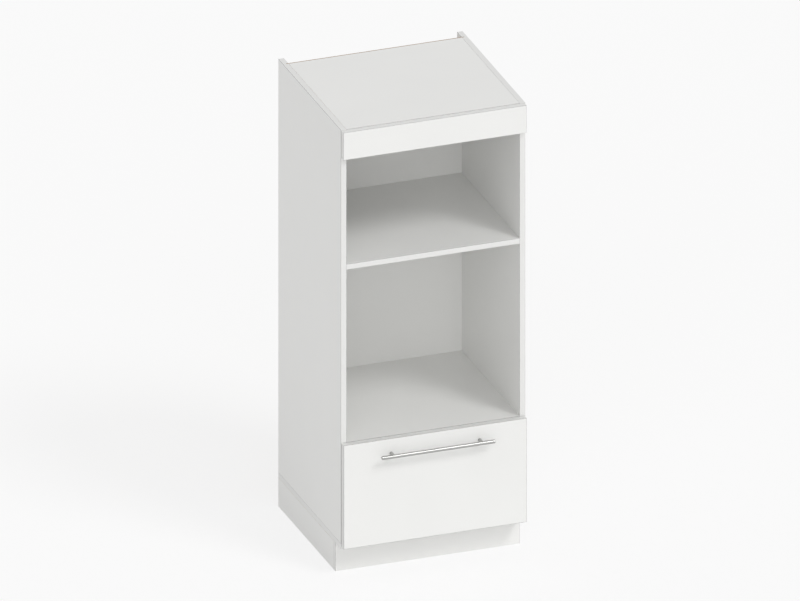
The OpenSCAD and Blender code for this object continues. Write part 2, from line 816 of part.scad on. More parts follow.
// Board between the drawer sides, drilled at its ends for the corner screws
module box_cross_board(y, z, h) {
    difference() {
        translate([-box_inner_x, y, z]) cube([2 * box_inner_x, box_t, h]);
        both_sides() for (hole_z = box_screw_zs) translate([-box_inner_x, y + box_t / 2, hole_z])
            to_right() blind_hole(box_screw_d, box_screw_l - box_t + fit_gap);
    }
}

module drawer_inner_front() {
    color(board_white) difference() {
        box_cross_board(box_front_y, box_z, box_h - band_t);
        translate([-box_inner_x - past, box_front_y + box_t - groove_depth, drawer_floor_z])
            cube([2 * (box_inner_x + past), groove_depth + past, panel_t + panel_gap]);
        for (x = [-front_screw_x, front_screw_x], z = front_screw_zs)
            translate([x, box_front_y + box_t, z])
                to_front() sunk_hole(box_screw_d, box_t + past, box_screw_head_d);
    }
}

// Stands on the drawer bottom, which runs under it
module drawer_back() {
    lower_z = drawer_floor_z + panel_t;
    color(board_white) difference() {
        box_cross_board(box_rear_y - box_t, lower_z, box_z + box_h - band_t - lower_z);
        for (x = bottom_screw_xs) translate([x, box_rear_y - box_t / 2, lower_z])
            blind_hole(screw_d, screw_l - panel_t + fit_gap);
    }
}

module drawer_bottom() {
    half_w = box_inner_x + groove_depth - panel_gap;
    front_y = box_front_y + box_t - groove_depth + panel_gap;
    color(panel_white) difference() {
        translate([-half_w, front_y, drawer_floor_z]) cube([2 * half_w, box_rear_y - front_y, panel_t]);
        for (x = bottom_screw_xs) translate([x, box_rear_y - box_t / 2, drawer_floor_z])
            blind_hole(screw_d, panel_t + past);
    }
}

module drawer_edge_bands() {
    color(band_white) translate([0, 0, box_z + box_h]) {
        both_sides() translate([-box_x, box_front_y, 0]) band_top_along(box_d, box_t);
        for (y = [box_front_y, box_rear_y - box_t])
            translate([seam - box_inner_x, y, 0]) band_top_across(2 * (box_inner_x - seam), box_t);
    }
}

module drawer_box_screws() {
    color(steel) both_sides() for (y = [box_front_y, box_rear_y - box_t], z = box_screw_zs)
        translate([-box_x, y + box_t / 2, z])
            to_right() sunk_screw(box_screw_d, box_screw_l, box_screw_head_d);
}

module drawer_bottom_screws() {
    color(steel) for (x = bottom_screw_xs) translate([x, box_rear_y - box_t / 2, drawer_floor_z])
        small_screw();
}

// ---- Drawer front and handle ----

module drawer_front() {
    color(board_white) difference() {
        translate([-front_w / 2, front_face_y, front_z]) front_core(front_w, front_h);
        for (x = [-front_screw_x, front_screw_x], z = front_screw_zs) translate([x, box_front_y, z])
            to_front() blind_hole(box_screw_d, front_screw_l - box_t + fit_gap);
        for (x = [-post_pitch / 2, post_pitch / 2]) translate([x, box_front_y, bar_z])
            to_front() blind_hole(handle_screw_d, board_t + past);
    }
}

module drawer_front_edge_bands()
    color(band_white) translate([-front_w / 2, front_face_y, front_z]) front_bands(front_w, front_h);

module front_fixing_screws() {
    color(steel) for (x = [-front_screw_x, front_screw_x], z = front_screw_zs)
        translate([x, box_front_y + box_t, z])
            to_front() sunk_screw(box_screw_d, front_screw_l, box_screw_head_d);
}

// Soft buffers that meet the front edges of the carcass sides
module front_buffers() {
    color(soft_clear) both_sides() for (z = [front_z + buffer_inset, front_top_z - buffer_inset])
        translate([board_t / 2 - side_x, box_front_y, z]) to_rear() cylinder(d = buffer_d, h = front_gap);
}

module handle_bar() {
    r = bar_d / 2;
    color(steel) difference() {
        translate([-bar_l / 2, bar_y, bar_z]) to_right() rotate_extrude() polygon([
            [0, 0], [r - bar_chamfer, 0], [r, bar_chamfer], [r, bar_l - bar_chamfer],
            [r - bar_chamfer, bar_l], [0, bar_l]
        ]);
        for (x = [-post_pitch / 2, post_pitch / 2]) translate([x, bar_y, bar_z])
            to_rear() translate([0, 0, r - spigot_deep]) cylinder(d = spigot_d + 2 * fit_gap, h = bar_d);
    }
}

// Posts saddled to the bar, with a spigot in it and a threaded hole for the screw from behind
module handle_post() {
    difference() {
        union() {
            difference() {
                to_front() cylinder(d = post_d, h = bar_reach);
                translate([-post_d, -bar_reach, 0])
                    to_right() cylinder(r = bar_d / 2 + fit_gap, h = 2 * post_d);
            }
            translate([0, -bar_reach / 2, 0]) to_front()
                cylinder(d = spigot_d, h = bar_reach / 2 - bar_d / 2 + spigot_deep - fit_gap);
        }
        to_front() blind_hole(handle_screw_d, handle_bite + fit_gap);
    }
}

module handle_posts() {
    color(steel) for (x = [-post_pitch / 2, post_pitch / 2]) translate([x, front_face_y, bar_z]) handle_post();
}

module handle_screws() {
    color(zinc) for (x = [-post_pitch / 2, post_pitch / 2]) translate([x, box_front_y, bar_z])
        to_front() pan_screw(handle_screw_d, board_t + handle_bite, handle_head_d, handle_head_h);
}

// ---- The assembly, with Y = 0 at the middle of the overall depth ----

module in_frame() translate([0, frame_shift_y, 0]) children();

in_frame() side_left();
in_frame() side_right();
in_frame() bottom_panel();
in_frame() top_panel();
in_frame() microwave_shelf();
in_frame() oven_shelf();
in_frame() back_panel();
in_frame() top_fascia();
in_frame() fascia_edge_bands();
in_frame() carcass_edge_bands();
in_frame() plinth_front();
in_frame() plinth_left();
in_frame() plinth_right();
in_frame() plinth_back();
in_frame() plinth_edge_bands();
in_frame() cam_locks();
in_frame() cam_bolts();
in_frame() wood_dowels();
in_frame() base_screws();
in_frame() back_panel_screws();
in_frame() fascia_brackets();
in_frame() plinth_brackets();
in_frame() bracket_screws();
in_frame() runner_cabinet_left();
in_frame() runner_cabinet_right();
in_frame() runner_cabinet_screws();
in_frame() outer_ball_cages();
in_frame() outer_balls();
in_frame() runner_middle_left();
in_frame() runner_middle_right();
in_frame() inner_ball_cages();
in_frame() inner_balls();
in_frame() runner_drawer_left();
in_frame() runner_drawer_right();
in_frame() runner_drawer_screws();
in_frame() drawer_side_left();
in_frame() drawer_side_right();
in_frame() drawer_inner_front();
in_frame() drawer_back();
in_frame() drawer_bottom();
in_frame() drawer_edge_bands();
in_frame() drawer_box_screws();
in_frame() drawer_bottom_screws();
in_frame() drawer_front();
in_frame() drawer_front_edge_bands();
in_frame() front_fixing_screws();
in_frame() front_buffers();
in_frame() handle_bar();
in_frame() handle_posts();
in_frame() handle_screws();
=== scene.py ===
"""Looks of a tall kitchen housing: an oven niche, a microwave niche and one deep drawer on runners.

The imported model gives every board, band, runner and fitting at its real size. This script dresses
them, lathes detailed screws and buffers in place of the plain ones, moulds the runners' release
levers, and sets up a plain studio. All sizes are in metres. X is the width, the fronts face -Y and
Z = 0 is the floor.
"""
import logging
import math
from dataclasses import dataclass, field
from enum import Enum

import bmesh
import bpy
from mathutils import Matrix, Vector


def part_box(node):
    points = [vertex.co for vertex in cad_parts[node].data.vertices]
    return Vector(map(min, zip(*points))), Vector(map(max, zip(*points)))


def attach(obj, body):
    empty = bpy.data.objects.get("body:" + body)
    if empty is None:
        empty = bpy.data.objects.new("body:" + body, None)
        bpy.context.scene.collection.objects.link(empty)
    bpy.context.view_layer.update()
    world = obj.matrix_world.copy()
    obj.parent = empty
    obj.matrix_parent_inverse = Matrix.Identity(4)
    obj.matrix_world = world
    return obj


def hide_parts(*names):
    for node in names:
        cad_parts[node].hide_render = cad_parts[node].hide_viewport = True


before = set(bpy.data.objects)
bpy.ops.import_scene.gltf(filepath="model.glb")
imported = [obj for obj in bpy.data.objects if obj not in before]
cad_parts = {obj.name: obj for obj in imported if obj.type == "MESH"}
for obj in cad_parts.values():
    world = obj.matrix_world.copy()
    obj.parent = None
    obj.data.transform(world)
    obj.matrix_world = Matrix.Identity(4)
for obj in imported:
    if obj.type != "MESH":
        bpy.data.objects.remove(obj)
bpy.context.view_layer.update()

log = logging.getLogger("housing")

Pair = tuple[float, float]
Triple = tuple[float, float, float]
RGB = Triple
RGBA = tuple[float, float, float, float]
Profile = list[Pair]
Mesh = bmesh.types.BMesh
Socket = bpy.types.NodeSocket

MM = 0.001
SAME_POINT = 0.001 * MM
QUARTER_TURN = math.pi / 2
FLOAT, COLOR, VECTOR = "NodeSocketFloat", "NodeSocketColor", "NodeSocketVector"
# A Mix node has sockets of the same name for each kind of value. These are the ones for colours.
COLOR_MIX_INPUTS, COLOR_MIX_RESULT = (0, 6, 7), 2


class Axis(Enum):
    """A direction of the frame, by its index."""

    X = 0
    Y = 1
    Z = 2

    @property
    def unit(self) -> Vector:
        """The unit vector along this axis."""
        return Vector([float(i == self.value) for i in range(3)])


class Side(Enum):
    """The left or the right half of the cabinet."""

    LEFT = "left"
    RIGHT = "right"

    @property
    def inward(self) -> float:
        """The sign along X of the way to the cabinet's middle."""
        return 1.0 if self is Side.LEFT else -1.0


class Effect(Enum):
    """The shader effects that several finishes share."""

    PEARL = "pearl"
    SAWN = "sawn"
    ARRIS = "arris"
    CHIPS = "chips"
    STREAKS = "streaks"
    PLATING = "plating"


# ---- Shader nodes and the effects that several finishes share ----


@dataclass
class NodeBoard:
    """A small helper that adds and wires shader nodes in one node tree.

    Attributes:
        tree: The node tree of a material, a group or the world.
    """

    tree: bpy.types.NodeTree

    def add(self, kind: str, **settings: object) -> bpy.types.Node:
        """Adds a node.

        Args:
            kind: The node's type name.
            settings: Properties of the node, or values and sockets for its inputs by name.

        Returns:
            The new node.
        """
        node = self.tree.nodes.new(kind)
        for name, value in settings.items():
            if hasattr(node, name):
                setattr(node, name, value)
            else:
                self.feed(node.inputs[name.replace("_", " ")], value)
        return node

    def wire(self, start: Socket, end: Socket) -> None:
        """Links an output socket to an input socket."""
        self.tree.links.new(start, end)

    def feed(self, slot: Socket, value: object) -> None:
        """Gives an input socket its value.

        Args:
            slot: The input socket.
            value: An output socket that is wired to it, or a plain value that it is set to.
        """
        if isinstance(value, Socket):
            self.wire(value, slot)
        else:
            slot.default_value = value

    def math(self, operation: str, first: object, second: object = 0.0) -> Socket:
        """Works out a number from two.

        Args:
            operation: The Math node's operation.
            first: A socket or a number.
            second: A socket or a number.

        Returns:
            The result.
        """
        node = self.add("ShaderNodeMath", operation=operation)
        for slot, value in zip(node.inputs, (first, second)):
            self.feed(slot, value)
        return node.outputs[0]

    def vector(self, operation: str, first: object, second: object) -> Socket:
        """Works out a vector, or the dot product, from two vectors.

        Args:
            operation: The Vector Math node's operation.
            first: A socket or a vector.
            second: A socket or a vector, or a number that the first is scaled by.

        Returns:
            The result.
        """
        node = self.add("ShaderNodeVectorMath", operation=operation)
        self.feed(node.inputs[0], first)
        self.feed(node.inputs["Scale" if operation == "SCALE" else 1], second)
        return node.outputs["Value" if operation == "DOT_PRODUCT" else "Vector"]

    def mix(self, factor: Socket, first: object, second: object) -> Socket:
        """Mixes two colours.

        Args:
            factor: 0 for the first colour, 1 for the second.
            first: A socket or an RGBA value.
            second: A socket or an RGBA value.

        Returns:
            The mixed colour.
        """
        node = self.add("ShaderNodeMix", data_type="RGBA")
        for index, value in zip(COLOR_MIX_INPUTS, (factor, first, second)):
            self.feed(node.inputs[index], value)
        return node.outputs[COLOR_MIX_RESULT]

    def ramp(self, value: Socket, low: float, high: float) -> Socket:
        """Maps the range from low to high to the range from 0 to 1, clamped."""
        return self.add("ShaderNodeMapRange", clamp=True, Value=value, From_Min=low, From_Max=high).outputs[0]

    def spread(self, value: Socket, low: float, high: float) -> Socket:
        """Maps the range from 0 to 1 to the range from low to high, clamped."""
        return self.add("ShaderNodeMapRange", clamp=True, Value=value, To_Min=low, To_Max=high).outputs[0]

    def noise(
        self, place: Socket, scale: object, detail: float, roughness: float = 0.5
    ) -> Socket:
        """Adds a noise pattern from 0 to 1."""
        settings = {"Vector": place, "Scale": scale, "Detail": detail, "Roughness": roughness}
        return self.add("ShaderNodeTexNoise", **settings).outputs["Fac"]

    def place(self) -> Socket:
        """Returns the Object coordinates."""
        return self.add("ShaderNodeTexCoord").outputs["Object"]

    def facing(self) -> Socket:
        """Returns the true normal of the surface."""
        return self.add("ShaderNodeNewGeometry").outputs["True Normal"]

    def seen_directly(self) -> Socket:
        """Tells what the camera sees, also in metal or through glass, from what only sheds light.

        Returns:
            1 for what the camera sees, and 0 for the rest.
        """
        rays = self.add("ShaderNodeLightPath").outputs
        behind = self.math("MAXIMUM", rays["Is Glossy Ray"], rays["Is Transmission Ray"])
        return self.math("MAXIMUM", rays["Is Camera Ray"], behind)


@dataclass
class Effects:
    """Node groups that are built once and placed in many materials.

    Attributes:
        made: The groups built so far.
        chip_dark: The darkest wood chip, linear.
        chip_pale: The palest wood chip.
        chip_gap: The gaps between chips.
    """

    made: dict[Effect, bpy.types.NodeTree] = field(default_factory=dict)
    chip_dark: RGBA = (0.40, 0.255, 0.135, 1.0)
    chip_pale: RGBA = (0.70, 0.53, 0.34, 1.0)
    chip_gap: RGBA = (0.21, 0.125, 0.065, 1.0)

    def group(self, effect: Effect) -> bpy.types.NodeTree:
        """Gives an effect's node group, which is built at its first use.

        Args:
            effect: The effect.

        Returns:
            Its node group.
        """
        if effect not in self.made:
            self.made[effect] = getattr(self, f"_build_{effect.value}")()
        return self.made[effect]

    @staticmethod
    def _new(
        name: str, inputs: dict[str, object], outputs: dict[str, str]
    ) -> tuple[NodeBoard, bpy.types.NodeOutputs, bpy.types.NodeInputs]:
        """Starts a node group.

        Args:
            name: The group's name.
            inputs: Default value of each input: a number or a vector of three.
            outputs: Socket type of each output.

        Returns:
            A board on the group's tree, the sockets that give its inputs, and those that take its outputs.
        """
        tree = bpy.data.node_groups.new(name, "ShaderNodeTree")
        for label, value in inputs.items():
            kind = FLOAT if isinstance(value, float) else VECTOR
            tree.interface.new_socket(label, in_out="INPUT", socket_type=kind).default_value = value
        for label, kind in outputs.items():
            tree.interface.new_socket(label, in_out="OUTPUT", socket_type=kind)
        start, end = (tree.nodes.new(kind) for kind in ("NodeGroupInput", "NodeGroupOutput"))
        return NodeBoard(tree), start.outputs, end.inputs

    def _build_pearl(self) -> bpy.types.NodeTree:
        """Makes the fine pressed skin of melamine and edge band, with a faint cloud of tone.

        Returns:
            The node group.
        """
        board, given, out = self._new(
            "pearl", {"Grain": 900.0, "Cloud": 6.0}, {"Height": FLOAT, "Tone": FLOAT}
        )
        place = board.place()
        board.wire(board.noise(place, given["Grain"], detail=1.0, roughness=0.6), out["Height"])
        board.wire(board.noise(place, given["Cloud"], detail=1.0), out["Tone"])
        return board.tree

    def _build_sawn(self) -> bpy.types.NodeTree:
        """Makes the mask of a board's sawn and drilled surfaces: all but its two outer faces.

        Returns:
            The node group.
        """
        board, given, out = self._new(
            "sawn", {"Centre": (0.0, 0.0, 0.0), "Across": (1.0, 0.0, 0.0), "Half": 9 * MM}, {"Mask": FLOAT}
        )
        offset = board.vector("SUBTRACT", board.place(), given["Centre"])
        depth, facing = (
            board.math("ABSOLUTE", board.vector("DOT_PRODUCT", value, given["Across"]))
            for value in (offset, board.facing())
        )
        skin, nearly_flat = 0.15 * MM, 0.7
        sunk = board.math("GREATER_THAN", board.math("SUBTRACT", given["Half"], depth), skin)
        board.wire(board.math("MAXIMUM", sunk, board.math("LESS_THAN", facing, nearly_flat)), out["Mask"])
        return board.tree

    def _build_arris(self) -> bpy.types.NodeTree:
        """Makes the mask of the narrow chamfers along edges, whose faces lie between the main directions. The
        finishes paint shade lines along edges and joints with it.

        Returns:
            The node group.
        """
        board, _, out = self._new("arris", {}, {"Mask": FLOAT})
        parts = board.add("ShaderNodeSeparateXYZ", Vector=board.facing()).outputs
        x, y, z = (board.math("ABSOLUTE", part) for part in parts)
        straight = board.math("MAXIMUM", x, board.math("MAXIMUM", y, z))
        board.wire(board.math("SUBTRACT", 1.0, board.ramp(straight, low=0.75, high=0.98)), out["Mask"])
        return board.tree

    def _build_chips(self) -> bpy.types.NodeTree:
        """Makes pressed wood chips, flat across the board, of several tones and with dark gaps between.

        Returns:
            The node group.
        """
        board, given, out = self._new(
            "chips",
            {"Across": (0.0, 1.0, 0.0), "Scale": 330.0, "Flatness": 1.6},
            {"Color": COLOR, "Height": FLOAT},
        )
        finer, chip_share, gap_strength = 5.0, 0.65, 0.7
        place = board.place()
        depth = board.vector("DOT_PRODUCT", place, given["Across"])
        squeeze = board.vector("SCALE", given["Across"], board.math("MULTIPLY", depth, given["Flatness"]))
        flat = board.vector("ADD", place, squeeze)
        flakes = board.add("ShaderNodeTexVoronoi", distance="CHEBYCHEV", Vector=flat, Scale=given["Scale"])
        tone = board.add("ShaderNodeSeparateColor", Color=flakes.outputs["Color"]).outputs[0]
        fibre_scale = board.math("MULTIPLY", given["Scale"], finer)
        fibres = board.ramp(board.noise(flat, fibre_scale, detail=3.0, roughness=0.7), low=0.3, high=0.7)
        paleness = board.math(
            "ADD", board.math("MULTIPLY", tone, chip_share), board.math("MULTIPLY", fibres, 1 - chip_share)
        )
        rim = board.ramp(flakes.outputs["Distance"], low=0.42, high=0.62)
        gap = board.math("MULTIPLY", rim, gap_strength)
        wood = board.mix(paleness, self.chip_dark, self.chip_pale)
        board.wire(board.mix(gap, wood, self.chip_gap), out["Color"])
        board.wire(board.math("SUBTRACT", paleness, gap), out["Height"])
        return board.tree

    def _build_streaks(self) -> bpy.types.NodeTree:
        """Makes fine lines along one direction, as a brush or a roll leaves them, in wide soft bands.

        Returns:
            The node group.
        """
        line_scale, band_scale = 1.0, 0.12
        board, given, out = self._new(
            "streaks", {"Stretch": (1.0, 1.0, 1.0)}, {"Height": FLOAT, "Tone": FLOAT}
        )
        stretched = board.vector("MULTIPLY", board.place(), given["Stretch"])
        board.wire(board.noise(stretched, line_scale, detail=4.0, roughness=0.7), out["Height"])
        board.wire(board.noise(stretched, band_scale, detail=1.0), out["Tone"])
        return board.tree

    def _build_plating(self) -> bpy.types.NodeTree:
        """Makes the cloudy bloom of zinc plating, with specks where it has dulled.

        Returns:
            The node group.
        """
        finer = 14.0
        board, given, out = self._new("plating", {"Scale": 120.0}, {"Tone": FLOAT, "Specks": FLOAT})
        place = board.place()
        specks = board.noise(place, board.math("MULTIPLY", given["Scale"], finer), detail=2.0)
        board.wire(board.noise(place, given["Scale"], detail=5.0, roughness=0.65), out["Tone"])
        board.wire(board.ramp(specks, low=0.62, high=0.75), out["Specks"])
        return board.tree


# ---- Finishes ----


@dataclass
class Surface(NodeBoard):
    """The nodes of one material, round its Principled shader.

    Attributes:
        shader: The Principled shader.
        effects: The shared node groups.
    """

    shader: bpy.types.Node
    effects: Effects

    def effect(self, effect: Effect, **values: object) -> bpy.types.NodeOutputs:
        """Places a shared effect in the material.

        Args:
            effect: The effect.
            values: Values of its inputs.

        Returns:
            Its outputs.
        """
        node = self.tree.nodes.new("ShaderNodeGroup")
        node.node_tree = self.effects.group(effect)
        for label, value in values.items():
            node.inputs[label].default_value = value
        return node.outputs

    def give(self, label: str, value: Socket) -> None:
        """Wires a value to the shader's input of that name."""
        self.wire(value, self.shader.inputs[label])

    def relief(self, height: Socket, depth: float) -> None:
        """Feeds a height into the shader's normal, as a bump of the given depth."""
        bump = self.add("ShaderNodeBump", Strength=1.0, Distance=depth, Height=height)
        self.give("Normal", bump.outputs["Normal"])


def shade(color: RGB, factor: float) -> RGBA:
    """Makes a colour darker or lighter by a factor."""
    return (*[min(1.0, part * factor) for part in color], 1.0)


@dataclass(frozen=True)
class Finish:
    """A named surface finish. Each kind below adds its own texture to the plain shader.

    Attributes:
        name: The material's name.
        color: Base colour, linear.
        roughness: Roughness of the plain shader.
        metallic: 1 for bare or plated metal.
        tones: Darkest and lightest tone, as shares of the colour.
        gloss: How far the roughness falls and rises from place to place.
        depth: Depth of the relief.
    """

    name: str
    color: RGB
    roughness: float = 0.4
    metallic: float = 0.0
    tones: Pair = (1.0, 1.0)
    gloss: Pair = (0.0, 0.0)
    depth: float = 0.0

    def build(self, effects: Effects) -> bpy.types.Material:
        """Makes the material.

        Args:
            effects: The shared node groups.

        Returns:
            The finished material.
        """
        material = bpy.data.materials.new(self.name)
        material.use_nodes = True
        shader = material.node_tree.nodes["Principled BSDF"]
        shader.inputs["Base Color"].default_value = (*self.color, 1.0)
        shader.inputs["Roughness"].default_value = self.roughness
        shader.inputs["Metallic"].default_value = self.metallic
        self.texture(Surface(material.node_tree, shader, effects))
        return material

    def texture(self, surface: Surface) -> None:
        """Adds what makes this finish more than one flat colour. Each kind has its own."""

    def tinted(self, surface: Surface, factor: Socket) -> Socket:
        """Mixes the darkest and the lightest tone by a factor."""
        return surface.mix(factor, *[shade(self.color, tone) for tone in self.tones])

    def satin(self, surface: Surface, factor: Socket) -> Socket:
        """Mixes the lowest and the highest roughness by a factor."""
        return surface.spread(factor, *[self.roughness + step for step in self.gloss])


@dataclass(frozen=True)
class Skinned(Finish):
    """A finish with a fine pressed or moulded skin.

    Attributes:
        grain: Scale of the skin's grain: more is finer.
        cloud: Scale of its clouds of tone.
        press: Depth of the skin as a share of the whole relief.
    """

    grain: float = 900.0
    cloud: float = 6.0
    press: float = 1.0

    def skin(self, surface: Surface) -> bpy.types.NodeOutputs:
        """Places the skin, which gives a height and a tone."""
        return surface.effect(Effect.PEARL, Grain=self.grain, Cloud=self.cloud)


@dataclass(frozen=True)
class FacedBoard(Skinned):
    """Melamine-faced chipboard: satin white faces, bare chips where it is sawn or drilled, and painted shade
    lines on its chamfers.

    Attributes:
        chip_scale: Scale of the wood chips.
        painted_edge_shade: How dark the painted shade line on the chamfers is, as a share of the colour.
        centre: The middle of the board.
        across: Unit vector across the board's thickness.
        half: Half the board's thickness.
    """

    tones: Pair = (0.975, 1.015)
    gloss: Pair = (-0.05, 0.07)
    depth: float = 0.2 * MM
    grain: float = 1400.0
    cloud: float = 5.0
    press: float = 0.03
    chip_scale: float = 380.0
    # Painted shade: the chamfers along edges and joints are darkened to this share of the colour.
    painted_edge_shade: float = 0.07
    centre: Triple = (0.0, 0.0, 0.0)
    across: Triple = (1.0, 0.0, 0.0)
    half: float = 9 * MM

    def texture(self, surface: Surface) -> None:
        """Mixes the pressed white face with bare chips, and paints near-black shade lines on the chamfers.

        Args:
            surface: The material's nodes.
        """
        skin = self.skin(surface)
        chips = surface.effect(Effect.CHIPS, Across=self.across, Scale=self.chip_scale)
        sawn = surface.effect(Effect.SAWN, Centre=self.centre, Across=self.across, Half=self.half)["Mask"]
        arris = surface.effect(Effect.ARRIS)["Mask"]
        # Painted shade: sawn chamfers along edges and joints are darkened to a near-black line.
        bare = surface.mix(arris, chips["Color"], shade(self.color, self.painted_edge_shade))
        surface.give("Base Color", surface.mix(sawn, self.tinted(surface, skin["Tone"]), bare))
        surface.give("Roughness", surface.math("MAXIMUM", self.satin(surface, skin["Tone"]), sawn))
        pressed = surface.math("MULTIPLY", skin["Height"], self.press)
        rough = surface.math("MULTIPLY", chips["Height"], sawn)
        surface.relief(surface.math("ADD", pressed, rough), self.depth)


@dataclass(frozen=True)
class Hardboard(Skinned):
    """Thin hardboard: white lacquer on the face towards the inside, brown fibre elsewhere.

    Attributes:
        front: Unit vector that the lacquered face points along.
        fibre: Colour of the bare fibre, linear.
        fibre_tones: Darkest and lightest fibre, as shares of its colour.
        felt: Scale of the matted fibres.
        dullness: How much rougher the bare fibre is than the lacquer.
    """

    tones: Pair = (0.98, 1.01)
    depth: float = 0.15 * MM
    grain: float = 700.0
    cloud: float = 4.0
    press: float = 0.05
    front: Triple = (0.0, -1.0, 0.0)
    fibre: RGB = (0.30, 0.185, 0.10)
    fibre_tones: Pair = (0.72, 1.35)
    felt: float = 420.0
    dullness: float = 0.45

    def texture(self, surface: Surface) -> None:
        """Mixes lacquer and matted fibre by the way a face points.

        Args:
            surface: The material's nodes.
        """
        nearly_flat = 0.7
        skin = self.skin(surface)
        facing = surface.vector("DOT_PRODUCT", surface.facing(), self.front)
        bare = surface.math("LESS_THAN", facing, nearly_flat)
        felt = surface.noise(surface.place(), self.felt, detail=6.0, roughness=0.75)
        browns = [shade(self.fibre, tone) for tone in self.fibre_tones]
        fibre = surface.mix(surface.ramp(felt, low=0.3, high=0.7), *browns)
        surface.give("Base Color", surface.mix(bare, self.tinted(surface, skin["Tone"]), fibre))
        dull = surface.math("MULTIPLY", bare, self.dullness)
        surface.give("Roughness", surface.math("ADD", dull, self.roughness))
        pressed = surface.math("MULTIPLY", skin["Height"], self.press)
        matted = surface.math("MULTIPLY", felt, bare)
        surface.relief(surface.math("ADD", pressed, matted), self.depth)


@dataclass(frozen=True)
class EdgeBand(Skinned):
    """Extruded edge band: a little smoother than the board's face, with painted shade on its chamfer.

    Attributes:
        painted_edge_shade: How dark the painted shade on the chamfer is, as a share of the band's colour.
    """

    tones: Pair = (0.97, 1.01)
    depth: float = 0.004 * MM
    grain: float = 2200.0
    cloud: float = 9.0
    painted_edge_shade: float = 0.07

    def texture(self, surface: Surface) -> None:
        """Adds tone, a fine relief and painted shade on the chamfer.

        Args:
            surface: The material's nodes.
        """
        skin = self.skin(surface)
        arris = surface.effect(Effect.ARRIS)["Mask"]
        # Painted shade: the chamfer is darkened to a near-black line along the edge.
        dark = shade(self.color, self.painted_edge_shade)
        surface.give("Base Color", surface.mix(arris, self.tinted(surface, skin["Tone"]), dark))
        surface.relief(skin["Height"], self.depth)


@dataclass(frozen=True)
class MouldedPlastic(Skinned):
    """Moulded plastic with a fine spark-eroded skin."""

    tones: Pair = (0.9, 1.12)
    depth: float = 0.008 * MM
    grain: float = 3000.0
    cloud: float = 60.0

    def texture(self, surface: Surface) -> None:
        """Adds the skin's relief and a faint tone.

        Args:
            surface: The material's nodes.
        """
        skin = self.skin(surface)
        surface.give("Base Color", self.tinted(surface, skin["Tone"]))
        surface.relief(skin["Height"], self.depth)


@dataclass(frozen=True)
class ClearBuffer(Skinned):
    """Soft milky silicone: most light passes into it.

    Attributes:
        milky: Share of the light that scatters inside.
        scatter: How far it scatters, for each colour.
        clear: Share of the light that passes through.
    """

    tones: Pair = (0.94, 1.04)
    cloud: float = 200.0
    milky: float = 0.6
    scatter: Triple = (2 * MM, 2 * MM, 2 * MM)
    clear: float = 0.25

    def texture(self, surface: Surface) -> None:
        """Makes the shader translucent, with a faint cloud.

        Args:
            surface: The material's nodes.
        """
        surface.give("Base Color", self.tinted(surface, self.skin(surface)["Tone"]))
        surface.shader.inputs["Subsurface Weight"].default_value = self.milky
        surface.shader.inputs["Subsurface Radius"].default_value = self.scatter
        surface.shader.inputs["Transmission Weight"].default_value = self.clear


@dataclass(frozen=True)
class CastZinc(Skinned):
    """Die-cast zinc alloy with a grainy, dull skin.

    Attributes:
        bloom: Scale of the dull clouds.
    """

    metallic: float = 1.0
    tones: Pair = (0.75, 1.15)
    depth: float = 0.03 * MM
    grain: float = 2600.0
    bloom: float = 240.0

    def texture(self, surface: Surface) -> None:
        """Adds a grainy relief and cloudy tone.

        Args:
            surface: The material's nodes.
        """
        bloom = surface.effect(Effect.PLATING, Scale=self.bloom)
        surface.give("Base Color", self.tinted(surface, bloom["Tone"]))
        surface.relief(self.skin(surface)["Height"], self.depth)


@dataclass(frozen=True)
class GreasedSteel(Finish):
    """Polished steel under a thin film of grease.

    Attributes:
        film: Scale of the film's smears.
    """

    metallic: float = 1.0
    tones: Pair = (0.88, 1.12)
    gloss: Pair = (0.0, 0.16)
    film: float = 420.0

    def texture(self, surface: Surface) -> None:
        """Adds the film's smears in tone and roughness.

        Args:
            surface: The material's nodes.
        """
        film = surface.effect(Effect.PLATING, Scale=self.film)
        surface.give("Base Color", self.tinted(surface, film["Tone"]))
        surface.give("Roughness", self.satin(surface, film["Tone"]))


@dataclass(frozen=True)
class Lined(Finish):
    """A finish with fine lines along one direction.

    Attributes:
        along: Direction of the lines.
        lengthwise: Scale of the pattern along the lines.
        crosswise: Scale of the pattern across the lines.
    """

    along: Axis = Axis.X
    lengthwise: float = 12.0
    crosswise: float = 2600.0

    def lines(self, surface: Surface) -> bpy.types.NodeOutputs:
        """Places the lines, which give a height and a tone."""
        stretch = tuple(self.lengthwise if axis is self.along else self.crosswise for axis in Axis)
        return surface.effect(Effect.STREAKS, Stretch=stretch)


@dataclass(frozen=True)
class BrushedSteel(Lined):
    """Steel brushed along one direction."""

    metallic: float = 1.0
    tones: Pair = (0.86, 1.1)
    gloss: Pair = (-0.07, 0.09)
    depth: float = 0.012 * MM

    def texture(self, surface: Surface) -> None:
        """Adds brush lines in tone, roughness and relief.

        Args:
            surface: The material's nodes.
        """
        lines = self.lines(surface)
        surface.give("Base Color", self.tinted(surface, lines["Height"]))
        surface.give("Roughness", self.satin(surface, lines["Tone"]))
        surface.relief(lines["Height"], self.depth)


